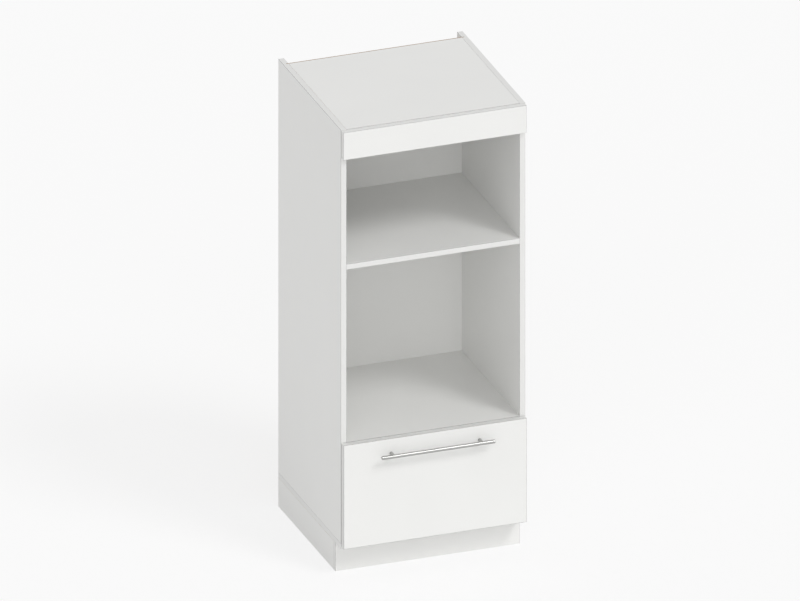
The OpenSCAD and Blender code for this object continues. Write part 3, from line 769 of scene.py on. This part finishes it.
@dataclass(frozen=True)
class ZincPlate(Lined):
    """Bright zinc plating on rolled or pressed steel, with faint roll lines.

    Attributes:
        bloom: Scale of the plating's clouds.
        speck_shade: How dark its dull specks are, as a share of the colour.
    """

    metallic: float = 1.0
    tones: Pair = (0.84, 1.12)
    gloss: Pair = (-0.1, 0.12)
    depth: float = 0.006 * MM
    along: Axis = Axis.Y
    lengthwise: float = 6.0
    crosswise: float = 1500.0
    bloom: float = 90.0
    speck_shade: float = 0.7

    def texture(self, surface: Surface) -> None:
        """Adds the plating's bloom, dull specks and roll lines.

        Args:
            surface: The material's nodes.
        """
        bloom = surface.effect(Effect.PLATING, Scale=self.bloom)
        speck = shade(self.color, self.speck_shade)
        tone = self.tinted(surface, bloom["Tone"])
        surface.give("Base Color", surface.mix(bloom["Specks"], tone, speck))
        surface.give("Roughness", self.satin(surface, bloom["Tone"]))
        surface.relief(self.lines(surface)["Height"], self.depth)


@dataclass(frozen=True)
class BareBeech(Lined):
    """Turned beech with short dark flecks along the grain, which runs along the dowels."""

    tones: Pair = (0.7, 1.15)
    depth: float = 0.03 * MM
    lengthwise: float = 60.0
    crosswise: float = 900.0

    def texture(self, surface: Surface) -> None:
        """Adds the grain and its flecks.

        Args:
            surface: The material's nodes.
        """
        grain = self.lines(surface)
        surface.give("Base Color", self.tinted(surface, grain["Height"]))
        surface.relief(grain["Height"], self.depth)


WHITE: RGB = (0.80, 0.80, 0.785)
BAND_WHITE: RGB = (0.75, 0.75, 0.737)
STEEL: RGB = (0.43, 0.43, 0.42)
BALL_STEEL: RGB = (0.75, 0.75, 0.76)
PLATE: RGB = (0.66, 0.67, 0.69)
CAST: RGB = (0.5, 0.5, 0.51)
BEECH: RGB = (0.62, 0.42, 0.24)
CAGE_BLACK: RGB = (0.035, 0.035, 0.038)
LEVER_BLACK: RGB = (0.03, 0.03, 0.032)
SILICONE: RGB = (0.82, 0.84, 0.85)


# ---- Carcass, plinth and fronts ----


def dress(node: str, material: bpy.types.Material) -> None:
    """Gives a CAD node one material.

    Args:
        node: The CAD node.
        material: Its finish.
    """
    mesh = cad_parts[node].data
    mesh.materials.clear()
    mesh.materials.append(material)
    log.info("dressed %s with %s", node, material.name)


@dataclass(frozen=True)
class EdgeBreak:
    """How the sharp edges of a board are broken.

    Attributes:
        width: Width of the chamfer.
        sharp: Edges that turn by more than this, in degrees, are broken.
        flat: Triangles that turn by less than this, in degrees, are first made one face.
        even: How strongly the large faces hold the shading flat.
    """

    width: float = 0.7 * MM
    sharp: float = 50.0
    flat: float = 0.5
    even: int = 100

    def apply(self, node: str) -> None:
        """Adds the modifiers that break the edges of a CAD node.

        Args:
            node: The CAD node.
        """
        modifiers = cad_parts[node].modifiers
        modifiers.new("weld", "WELD").merge_threshold = SAME_POINT
        faces = modifiers.new("whole_faces", "DECIMATE")
        faces.decimate_type = "DISSOLVE"
        faces.angle_limit = math.radians(self.flat)
        bevel = modifiers.new("broken_edges", "BEVEL")
        bevel.width = self.width
        bevel.segments = 1
        bevel.limit_method = "ANGLE"
        bevel.angle_limit = math.radians(self.sharp)
        modifiers.new("even_shading", "WEIGHTED_NORMAL").weight = self.even


@dataclass
class BoardWork:
    """Every board and edge band of the carcass, the plinth, the fronts and the drawer box.

    Attributes:
        effects: The shared node groups.
        edges: How the boards' edges are broken.
        boards: Nodes of faced chipboard.
        bands: Nodes of edge band.
        face_roughness: Roughness of the boards' faces.
        lacquer_roughness: Roughness of the thin panels' lacquer.
        band_roughness: Roughness of the edge bands.
    """

    effects: Effects
    edges: EdgeBreak = EdgeBreak()
    boards: tuple[str, ...] = (
        "side_left", "side_right", "bottom_panel", "top_panel", "microwave_shelf", "oven_shelf",
        "top_fascia", "plinth_front", "plinth_left", "plinth_right", "plinth_back",
        "drawer_side_left", "drawer_side_right", "drawer_inner_front", "drawer_back", "drawer_front",
    )
    bands: tuple[str, ...] = (
        "carcass_edge_bands", "fascia_edge_bands", "plinth_edge_bands",
        "drawer_edge_bands", "drawer_front_edge_bands",
    )
    face_roughness: float = 0.38
    lacquer_roughness: float = 0.35
    band_roughness: float = 0.32

    def dress_all(self) -> None:
        """Dresses the boards, the thin panels and the bands."""
        for node in self.boards:
            dress(node, self.faced(node).build(self.effects))
            self.edges.apply(node)
        for node, front in (("back_panel", -Axis.Y.unit), ("drawer_bottom", Axis.Z.unit)):
            panel = Hardboard(f"{node}_board", WHITE, self.lacquer_roughness, front=tuple(front))
            dress(node, panel.build(self.effects))
        band = EdgeBand("white_band", BAND_WHITE, self.band_roughness).build(self.effects)
        for node in self.bands:
            dress(node, band)

    def faced(self, node: str) -> FacedBoard:
        """Works out a board's finish from its box: it is faced across its thinnest side.

        Args:
            node: The board's CAD node.

        Returns:
            Its finish.
        """
        low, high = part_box(node)
        size = high - low
        across = min(Axis, key=lambda axis: size[axis.value])
        return FacedBoard(
            f"{node}_board", WHITE, self.face_roughness,
            centre=tuple((low + high) / 2), across=tuple(across.unit), half=size[across.value] / 2,
        )


# ---- Metal and small parts that keep their own mesh ----


@dataclass
class MetalWork:
    """Handle, runners, cams, brackets, dowels, cages and balls.

    Attributes:
        effects: The shared node groups.
    """

    effects: Effects

    def dress_all(self) -> None:
        """Dresses each of these CAD nodes."""
        runners = [f"runner_{part}_{side.value}" for part in ("cabinet", "middle", "drawer") for side in Side]
        for finish, nodes in (
            (BrushedSteel("handle_steel", STEEL, roughness=0.33), ["handle_bar"]),
            (BrushedSteel("post_steel", STEEL, roughness=0.33, along=Axis.Y), ["handle_posts"]),
            (ZincPlate("rolled_zinc", PLATE, roughness=0.3), runners),
            (
                ZincPlate("pressed_zinc", PLATE, roughness=0.36, along=Axis.Z),
                ["fascia_brackets", "plinth_brackets", "cam_bolts"],
            ),
            (CastZinc("cast_cam", CAST, roughness=0.42), ["cam_locks"]),
            (BareBeech("bare_beech", BEECH, roughness=0.6), ["wood_dowels"]),
            (
                MouldedPlastic("cage_plastic", CAGE_BLACK, roughness=0.45),
                ["outer_ball_cages", "inner_ball_cages"],
            ),
            (GreasedSteel("bearing_ball", BALL_STEEL, roughness=0.05), ["outer_balls", "inner_balls"]),
        ):
            material = finish.build(self.effects)
            for node in nodes:
                dress(node, material)


# ---- Mesh helpers ----


def corners(points: list[Vector]) -> tuple[Vector, Vector]:
    """Finds the lowest and the highest corner of the box round some points."""
    low, high = (Vector([pick(places) for places in zip(*points)]) for pick in (min, max))
    return low, high


def islands(node: str) -> list[list[Vector]]:
    """Splits a CAD node into its separate solids.

    Args:
        node: The CAD node.

    Returns:
        The points of each solid.
    """
    mesh = bmesh.new()
    mesh.from_mesh(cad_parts[node].data)
    bmesh.ops.remove_doubles(mesh, verts=mesh.verts, dist=2 * SAME_POINT)
    seen: set[bmesh.types.BMVert] = set()
    found = []
    for first in mesh.verts:
        island, todo = [], [first]
        while todo:
            vert = todo.pop()
            if vert not in seen:
                seen.add(vert)
                island.append(vert.co.copy())
                todo.extend(edge.other_vert(vert) for edge in vert.link_edges)
        if island:
            found.append(island)
    mesh.free()
    return found


def turned(
    profile: Profile, axis: Axis, steps: int
) -> tuple[Mesh, list[bmesh.types.BMFace]]:
    """Spins a profile once round an axis, and closes the end that it leaves open.

    Args:
        profile: Radius and height of each point.
        axis: The axis that it is spun round: Y or Z.
        steps: Segments around the axis.

    Returns:
        The closed shape, and the face that closes it.
    """
    part = bmesh.new()
    chain = [part.verts.new(Axis.X.unit * radius + axis.unit * height) for radius, height in profile]
    edges = [part.edges.new(pair) for pair in zip(chain, chain[1:])]
    bmesh.ops.spin(
        part, geom=chain + edges, cent=(0, 0, 0), axis=axis.unit, angle=4 * QUARTER_TURN,
        steps=steps, use_merge=True,
    )
    bmesh.ops.remove_doubles(part, verts=part.verts, dist=SAME_POINT)
    rim = [edge for edge in part.edges if edge.is_boundary]
    cap = bmesh.ops.contextual_create(part, geom=rim)["faces"]
    bmesh.ops.recalc_face_normals(part, faces=part.faces)
    return part, cap


def merge_into(mesh: Mesh, part: Mesh) -> None:
    """Adds one shape to another.

    Args:
        mesh: The mesh that takes it.
        part: The shape, which is freed.
    """
    spare = bpy.data.meshes.new("spare")
    part.to_mesh(spare)
    part.free()
    mesh.from_mesh(spare)
    bpy.data.meshes.remove(spare)


def finished_piece(
    name: str, mesh: Mesh, material: bpy.types.Material, smooth_angle: float = 30
) -> bpy.types.Object:
    """Turns a mesh into an object at the origin, with one material and smooth shading.

    Args:
        name: The piece's name.
        mesh: Its shape, which is freed.
        material: Its finish.
        smooth_angle: Edges sharper than this, in degrees, stay crisp.

    Returns:
        The new object.
    """
    for face in mesh.faces:
        face.smooth = True
    for edge in mesh.edges:
        edge.smooth = len(edge.link_faces) == 2 and edge.calc_face_angle(0) < math.radians(smooth_angle)
    data = bpy.data.meshes.new(name)
    mesh.to_mesh(data)
    mesh.free()
    data.materials.append(material)
    piece = bpy.data.objects.new(name, data)
    bpy.context.scene.collection.objects.link(piece)
    return piece


# ---- Small moulded parts ----


@dataclass(frozen=True)
class Pad:
    """A flat pad of the release lever, with round ends and a rounded rim.

    Attributes:
        start: Where it starts along the lever, from the pivot.
        end: Where it ends.
        half_width: Half its width, and the radius of its ends.
        height: Its thickness.
        rim: Width of the rounded rim as a share of the thickness.
        segments: Segments round its outline.
    """

    start: float
    end: float
    half_width: float
    height: float
    rim: float = 0.3
    segments: int = 24

    def add_to(self, mesh: Mesh) -> None:
        """Adds the pad to a mesh.

        Args:
            mesh: The mesh that takes it.
        """
        part = bmesh.new()
        outline = bmesh.ops.create_circle(part, cap_ends=True, radius=self.half_width, segments=self.segments)
        for vert in outline["verts"]:
            vert.co.x += self.end - self.half_width if vert.co.x > 0 else self.start + self.half_width
        raised = bmesh.ops.extrude_face_region(part, geom=part.faces[:])["geom"]
        top = [item for item in raised if isinstance(item, bmesh.types.BMVert)]
        bmesh.ops.translate(part, verts=top, vec=(0, 0, self.height))
        rim = [edge for edge in part.edges if all(vert.co.z > self.height / 2 for vert in edge.verts)]
        bmesh.ops.bevel(
            part, geom=rim, offset=self.rim * self.height, segments=2, profile=0.5,
            affect="EDGES", material=-1,
        )
        merge_into(mesh, part)


@dataclass
class ReleaseLever:
    """Moulded lever in the channel of each drawer member, which frees the drawer when it is pressed.

    Attributes:
        material: Its plastic.
        sheet: Thickness of the runner's sheet steel, where the lever's foot sits.
        from_front: Distance of its pivot from the front end of the drawer member.
        pads: The arm, the wider root round the pivot, and the thumb tab.
        pin: Outline of the domed pivot pin.
        pin_x: Place of the pin along the lever.
        pin_steps: Segments around the pin.
    """

    material: bpy.types.Material
    sheet: float = 1.1 * MM
    from_front: float = 176 * MM
    pads: tuple[Pad, ...] = (
        Pad(start=0.0, end=58 * MM, half_width=2.31 * MM, height=1.6 * MM),
        Pad(start=-5.8 * MM, end=9.28 * MM, half_width=4.2 * MM, height=2.08 * MM),
        Pad(start=42.92 * MM, end=61.48 * MM, half_width=4.2 * MM, height=3.4 * MM),
    )
    pin: tuple[Pair, ...] = (
        (2.1 * MM, 1.872 * MM), (2.1 * MM, 2.392 * MM), (1.26 * MM, 2.912 * MM), (0.0, 3.12 * MM)
    )
    pin_x: float = 1.74 * MM
    pin_steps: int = 16

    def make(self) -> None:
        """Models one lever on each side, riding on the drawer."""
        for side in Side:
            low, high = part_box(f"runner_drawer_{side.value}")
            web = (high.x if side is Side.LEFT else low.x) - side.inward * self.sheet
            mesh = bmesh.new()
            for pad in self.pads:
                pad.add_to(mesh)
            pin, _ = turned(list(self.pin), Axis.Z, self.pin_steps)
            bmesh.ops.translate(pin, verts=pin.verts, vec=(self.pin_x, 0, 0))
            merge_into(mesh, pin)
            # The lever's length runs to the back and its thickness away from the cabinet's middle.
            turn = Matrix(((0, 0, -side.inward, 0), (1, 0, 0, 0), (0, 1, 0, 0), (0, 0, 0, 1)))
            middle = Vector((web, low.y + self.from_front, (low.z + high.z) / 2))
            bmesh.ops.transform(mesh, matrix=Matrix.Translation(middle) @ turn, verts=mesh.verts)
            bmesh.ops.recalc_face_normals(mesh, faces=mesh.faces)
            piece = finished_piece(f"release_lever_{side.value}", mesh, self.material, smooth_angle=35)
            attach(piece, "drawer")
            log.info("moulded %s", piece.name)


@dataclass
class FrontBuffers:
    """Soft domed buffers in place of the plain discs behind the drawer front.

    Attributes:
        material: Their silicone.
        rim: Radius and height of the foot's chamfer, as shares of the whole.
        foot: Height of the upright foot as a share of the whole height.
        rings: Rings of the dome.
        fullness: How round the dome is: less is fuller.
        turns: Segments around a buffer.
    """

    material: bpy.types.Material
    rim: Pair = (0.97, 0.1)
    foot: float = 0.35
    rings: int = 6
    fullness: float = 0.6
    turns: int = 28

    def profile(self, radius: float, height: float) -> Profile:
        """Works out a buffer's outline.

        Args:
            radius: Its radius.
            height: Its height.

        Returns:
            Radius and height of each point, from the foot's rim to the top.
        """
        points = [(radius * self.rim[0], 0.0), (radius, height * self.rim[1]), (radius, height * self.foot)]
        for i in range(1, self.rings):
            bow = QUARTER_TURN * i / self.rings
            rise = self.foot + (1 - self.foot) * math.sin(bow)
            points.append((radius * math.cos(bow) ** self.fullness, height * rise))
        return [*points, (0.0, height)]

    def make(self) -> None:
        """Spins one dome for each disc of the CAD node."""
        mesh = bmesh.new()
        for points in islands("front_buffers"):
            low, high = corners(points)
            dome, _ = turned(self.profile((high.x - low.x) / 2, high.y - low.y), Axis.Y, self.turns)
            place = Vector(((low.x + high.x) / 2, low.y, (low.z + high.z) / 2))
            bmesh.ops.translate(dome, verts=dome.verts, vec=place)
            merge_into(mesh, dome)
        piece = finished_piece("domed_buffers", mesh, self.material, smooth_angle=50)
        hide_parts("front_buffers")
        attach(piece, "drawer")
        log.info("spun the front buffers")


# ---- Screws, lathed in place of the plain ones ----


@dataclass(frozen=True)
class ScrewShape:
    """Sizes of a screw as shares of what the plain solid shows.

    Attributes:
        pitch: Thread pitch as a share of the shank's diameter.
        groove: Depth of the thread as a share of the shank's radius.
        point: Radius of the point's end as a share of the core's, and its height in pitches.
        first: Height of the first crest in pitches.
        plain: Length of the shank that has no crest, in pitches.
        growth: Radius of the first crest as a share of the shank's, and what each next one adds.
        foot: Least depth of a groove's floor, as a share of its crest's radius.
        flank: Half the length of a ridge, in pitches.
        sunk_head: Outline of a countersunk head: radius as a share of its own, height above the neck.
        pan_head: Outline of a raised head, in the same shares.
        recess: Reach of the cross recess as a share of the head's radius.
        lip: Width of the flat round the recess, in the same share.
        deep: Depth of the recess as a share of the head's radius.
        taper: Width of the recess's floor as a share of its mouth.
        cross: Reach of the recess from the middle of an arm to the corner between two arms.
        turns: Segments around the screw, six for each arm.
    """

    pitch: float = 0.4
    groove: float = 0.22
    point: Pair = (0.3, 0.5)
    first: float = 1.4
    plain: float = 2.2
    growth: Pair = (0.55, 0.25)
    foot: float = 0.85
    flank: float = 0.35
    sunk_head: tuple[Pair, ...] = ((0.985, 0.94), (0.93, 1.0))
    pan_head: tuple[Pair, ...] = ((0.98, 0.0), (1.0, 0.25), (0.9, 0.7), (0.72, 0.92))
    recess: float = 0.6
    lip: float = 0.04
    deep: float = 0.32
    taper: float = 0.62
    cross: tuple[float, ...] = (1.0, 0.93, 0.46, 0.36)
    turns: int = 24


@dataclass(frozen=True)
class PlainScrew:
    """Place and sizes of one plain screw, read from its solid.

    Attributes:
        tip: The pointed end.
        way: Unit vector from the tip to the head.
        length: Overall length.
        neck: Height of the head's underside above the tip.
        shank: Radius of the shank.
        head: Radius of the head.
        sunk: True if the head is countersunk.
    """

    tip: Vector
    way: Vector
    length: float
    neck: float
    shank: float
    head: float
    sunk: bool


@dataclass
class ScrewWork:
    """Reads the plain screws of a CAD node and lathes detailed ones in their place.

    Attributes:
        effects: The shared node groups.
        shape: Sizes of the detail.
        bodies: The nodes that hold screws, by the body that they ride on.
        at_rim: Points further out than this share of the head's radius are on its rim.
        below_head: The shank is measured below this share of the length.
        play: Heights and radii that differ by less than this are the same.
    """

    effects: Effects
    shape: ScrewShape = ScrewShape()
    bodies: dict[str, tuple[str, ...]] = field(
        default_factory=lambda: {
            "carcass": ("base_screws", "back_panel_screws", "bracket_screws", "runner_cabinet_screws"),
            "drawer": (
                "runner_drawer_screws", "drawer_box_screws", "drawer_bottom_screws",
                "front_fixing_screws", "handle_screws",
            ),
        }
    )
    at_rim: float = 0.97
    below_head: float = 0.6
    play: float = 0.02 * MM

    def make_all(self) -> None:
        """Replaces the screws of every node that holds them."""
        plate = ZincPlate("screw_zinc", PLATE, roughness=0.28, along=Axis.Z).build(self.effects)
        for body, nodes in self.bodies.items():
            for node in nodes:
                self.replace(node, body, plate)

    def replace(self, node: str, body: str, material: bpy.types.Material) -> None:
        """Lathes detailed screws for one node.

        Args:
            node: The CAD node with the plain screws.
            body: The body that they ride on.
            material: Their finish.
        """
        screws = [self.measure(points) for points in islands(node)]
        mesh = bmesh.new()
        for screw in screws:
            self.lathe(mesh, screw)
        piece = finished_piece(f"{node}_threaded", mesh, material, smooth_angle=40)
        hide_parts(node)
        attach(piece, body)
        log.info("lathed %d screws for %s", len(screws), node)

    def measure(self, points: list[Vector]) -> PlainScrew:
        """Measures a plain screw. Its head is the end with the widest ring.

        Args:
            points: The points of its solid.

        Returns:
            Its place and sizes.
        """
        low, high = corners(points)
        size, middle = high - low, (low + high) / 2
        axis = max(Axis, key=lambda axis: size[axis.value])
        length = size[axis.value]
        radii = [(p - middle - axis.unit * (p - middle)[axis.value]).length for p in points]
        head = max(radii)
        rim = [p[axis.value] for p, radius in zip(points, radii) if radius > self.at_rim * head]
        way = axis.unit * (1 if sum(rim) / len(rim) > middle[axis.value] else -1)
        tip = middle - way * length / 2
        rings = [((p - tip).dot(way), radius) for p, radius in zip(points, radii)]
        shank = max(radius for height, radius in rings if height < self.below_head * length)
        neck = max(height for height, radius in rings if abs(radius - shank) < self.play)
        top = max(height for height, radius in rings if radius > self.at_rim * head)
        return PlainScrew(tip, way, length, neck, shank, head, sunk=length - top < self.play)

    def lathe(self, mesh: Mesh, screw: PlainScrew) -> None:
        """Spins one screw and sinks the recess into its head.

        Args:
            mesh: The mesh that takes the screw.
            screw: Its place and sizes.
        """
        profile = self.shank_profile(screw) + self.head_profile(screw)
        part, cap = turned(profile, Axis.Z, self.shape.turns)
        self.sink_recess(part, cap, screw)
        bmesh.ops.recalc_face_normals(part, faces=part.faces)
        turn = Axis.Z.unit.rotation_difference(screw.way).to_matrix().to_4x4()
        bmesh.ops.transform(part, matrix=Matrix.Translation(screw.tip) @ turn, verts=part.verts)
        merge_into(mesh, part)

    def shank_profile(self, screw: PlainScrew) -> Profile:
        """Works out the outline of the point and the ridged shank.

        Args:
            screw: The screw's sizes.

        Returns:
            Radius and height of each point, from the tip to the neck.
        """
        shape = self.shape
        core = screw.shank * (1 - shape.groove)
        pitch = 2 * screw.shank * shape.pitch
        profile = [(0.0, 0.0), (core * shape.point[0], pitch * shape.point[1])]
        for i in range(max(2, int(screw.neck / pitch - shape.plain))):
            crest = screw.shank * min(1.0, shape.growth[0] + shape.growth[1] * i)
            root = min(core, crest * shape.foot)
            middle = shape.first + i
            profile += [
                (root, pitch * (middle - shape.flank)), (crest, pitch * middle),
                (root, pitch * (middle + shape.flank)),
            ]
        return [*profile, (core, screw.neck)]

    def head_profile(self, screw: PlainScrew) -> Profile:
        """Works out the outline of the head.

        Args:
            screw: The screw's sizes.

        Returns:
            Radius and height of each point, from the neck to the flat round the recess.
        """
        outline = self.shape.sunk_head if screw.sunk else self.shape.pan_head
        flat = (self.shape.recess + self.shape.lip, 1.0)
        rise = screw.length - screw.neck
        return [(screw.head * radius, screw.neck + rise * height) for radius, height in (*outline, flat)]

    def sink_recess(
        self, part: Mesh, cap: list[bmesh.types.BMFace], screw: PlainScrew
    ) -> None:
        """Cuts a tapered cross into the flat top: its mouth first, and then its floor.

        Args:
            part: The screw's mesh.
            cap: The flat face on top.
            screw: The screw's sizes.
        """
        reach = screw.head * self.shape.recess
        step = 4 * QUARTER_TURN / self.shape.turns
        for width, sink in ((1.0, 0.0), (self.shape.taper, screw.head * self.shape.deep)):
            bmesh.ops.inset_region(part, faces=cap, thickness=screw.head * self.shape.lip / 2)
            for vert in {vert for face in cap for vert in face.verts}:
                angle = math.atan2(vert.co.y, vert.co.x)
                off_arm = abs((angle + QUARTER_TURN / 2) % QUARTER_TURN - QUARTER_TURN / 2)
                radius = reach * width * self.shape.cross[round(off_arm / step)]
                vert.co = (radius * math.cos(angle), radius * math.sin(angle), screw.length - sink)


# ---- Studio ----


@dataclass(frozen=True)
class Lamp:
    """A soft lamp that shines the same on all of the object.

    Attributes:
        name: Its name.
        place: It shines from here towards the object's foot.
        spread: Width of its disc in degrees: more gives softer shadows.
        power: Its strength.
    """

    name: str
    place: Triple
    spread: float
    power: float

    def add(self) -> None:
        """Adds the lamp to the scene."""
        data = bpy.data.lights.new(self.name, "SUN")
        data.angle = math.radians(self.spread)
        data.energy = self.power
        lamp = bpy.data.objects.new(self.name, data)
        lamp.location = self.place
        lamp.rotation_euler = (-Vector(self.place)).to_track_quat("-Z", "Y").to_euler()
        bpy.context.scene.collection.objects.link(lamp)


@dataclass
class Studio:
    """Camera, floor, lamps and world.

    Attributes:
        azimuth: Camera direction round the object in degrees; negative is from its left.
        elevation: Camera height above the horizon in degrees.
        pixels_per_metre: Scale of the picture.
        corner_pixel: Where the picture shows the carcass's top front left corner.
        picture: Width and height of the picture in pixels.
        distance: Distance of the camera from the middle of its view.
        far: Distance at which its view ends.
        lamps: A key from the front right, high up, and a softer fill from the front left.
        room_light: Strength of the even light from all round.
        floor_size: Half the width of the floor.
        floor_grey: Colour of the floor.
        floor_roughness: Its roughness.
        floor_glow: Share of plain white that the floor shows to the camera; the rest is its lit surface.
        floor_drop: How far the floor lies under the plinth, so that the two faces do not fight.
    """

    azimuth: float = -20.0
    elevation: float = 24.5
    pixels_per_metre: float = 326.81
    corner_pixel: Pair = (340.43, 129.75)
    picture: tuple[int, int] = (800, 601)
    distance: float = 5.0
    far: float = 30.0
    lamps: tuple[Lamp, ...] = (
        Lamp("key_lamp", place=(1.5, -2.4, 3.2), spread=18.0, power=0.95),
        Lamp("fill_lamp", place=(-1.2, -3.0, 0.9), spread=60.0, power=0.85),
    )
    room_light: float = 0.6
    floor_size: float = 30.0
    floor_grey: RGBA = (0.9, 0.9, 0.9, 1.0)
    floor_roughness: float = 0.9
    floor_glow: float = 0.74
    floor_drop: float = 0.2 * MM

    def build(self) -> None:
        """Sets up everything around the object."""
        self.add_camera()
        self.add_floor()
        for lamp in self.lamps:
            lamp.add()
        self.set_world()
        bpy.context.scene.view_settings.view_transform = "Standard"

    def add_camera(self) -> None:
        """Places a parallel-projection camera so that the carcass corner meets its pixel."""
        turn, tilt = math.radians(self.azimuth), math.radians(self.elevation)
        ahead = Vector((-math.sin(turn) * math.cos(tilt), math.cos(turn) * math.cos(tilt), -math.sin(tilt)))
        right = Vector((math.cos(turn), math.sin(turn), 0.0))
        up = right.cross(ahead)
        low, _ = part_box("side_left")
        _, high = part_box("top_panel")
        corner = Vector((low.x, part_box("carcass_edge_bands")[0].y, high.z))
        across, down = (
            ((whole - 1) / 2 - pixel) / self.pixels_per_metre
            for whole, pixel in zip(self.picture, self.corner_pixel)
        )
        middle = corner + right * across - up * down
        data = bpy.data.cameras.new("camera")
        data.type = "ORTHO"
        data.ortho_scale = self.picture[0] / self.pixels_per_metre
        data.clip_end = self.far
        camera = bpy.data.objects.new("camera", data)
        camera.location = middle - ahead * self.distance
        camera.rotation_euler = ahead.to_track_quat("-Z", "Y").to_euler()
        bpy.context.scene.collection.objects.link(camera)
        bpy.context.scene.camera = camera

    def add_floor(self) -> None:
        """Lays a wide pale floor that keeps the object's shadow."""
        mesh = bmesh.new()
        bmesh.ops.create_grid(mesh, x_segments=1, y_segments=1, size=self.floor_size)
        bmesh.ops.translate(mesh, verts=mesh.verts, vec=(0.0, 0.0, -self.floor_drop))
        material = bpy.data.materials.new("studio_floor")
        material.use_nodes = True
        board = NodeBoard(material.node_tree)
        lit = board.tree.nodes["Principled BSDF"]
        lit.inputs["Base Color"].default_value = self.floor_grey
        lit.inputs["Roughness"].default_value = self.floor_roughness
        glow = board.add("ShaderNodeEmission", Strength=1.0)
        blend = board.add("ShaderNodeMixShader")
        share = board.math("MULTIPLY", board.seen_directly(), self.floor_glow)
        for slot, value in zip(blend.inputs, (share, lit.outputs[0], glow.outputs[0])):
            board.wire(value, slot)
        board.wire(blend.outputs[0], board.tree.nodes["Material Output"].inputs["Surface"])
        finished_piece("studio_floor", mesh, material)

    def set_world(self) -> None:
        """Fills the room with even light, and shows white to the camera."""
        world = bpy.data.worlds.new("studio")
        bpy.context.scene.world = world
        world.use_nodes = True
        board = NodeBoard(world.node_tree)
        ground = board.tree.nodes["Background"].inputs
        ground["Color"].default_value = (1.0, 1.0, 1.0, 1.0)
        board.wire(board.spread(board.seen_directly(), self.room_light, 1.0), ground["Strength"])


def main() -> None:
    """Dresses the housing and sets up the studio."""
    logging.basicConfig(level=logging.INFO)
    effects = Effects()
    Studio().build()
    BoardWork(effects).dress_all()
    MetalWork(effects).dress_all()
    ScrewWork(effects).make_all()
    FrontBuffers(ClearBuffer("clear_buffer", SILICONE, roughness=0.25).build(effects)).make()
    ReleaseLever(MouldedPlastic("lever_plastic", LEVER_BLACK, roughness=0.4).build(effects)).make()


if __name__ == "__main__":
    main()
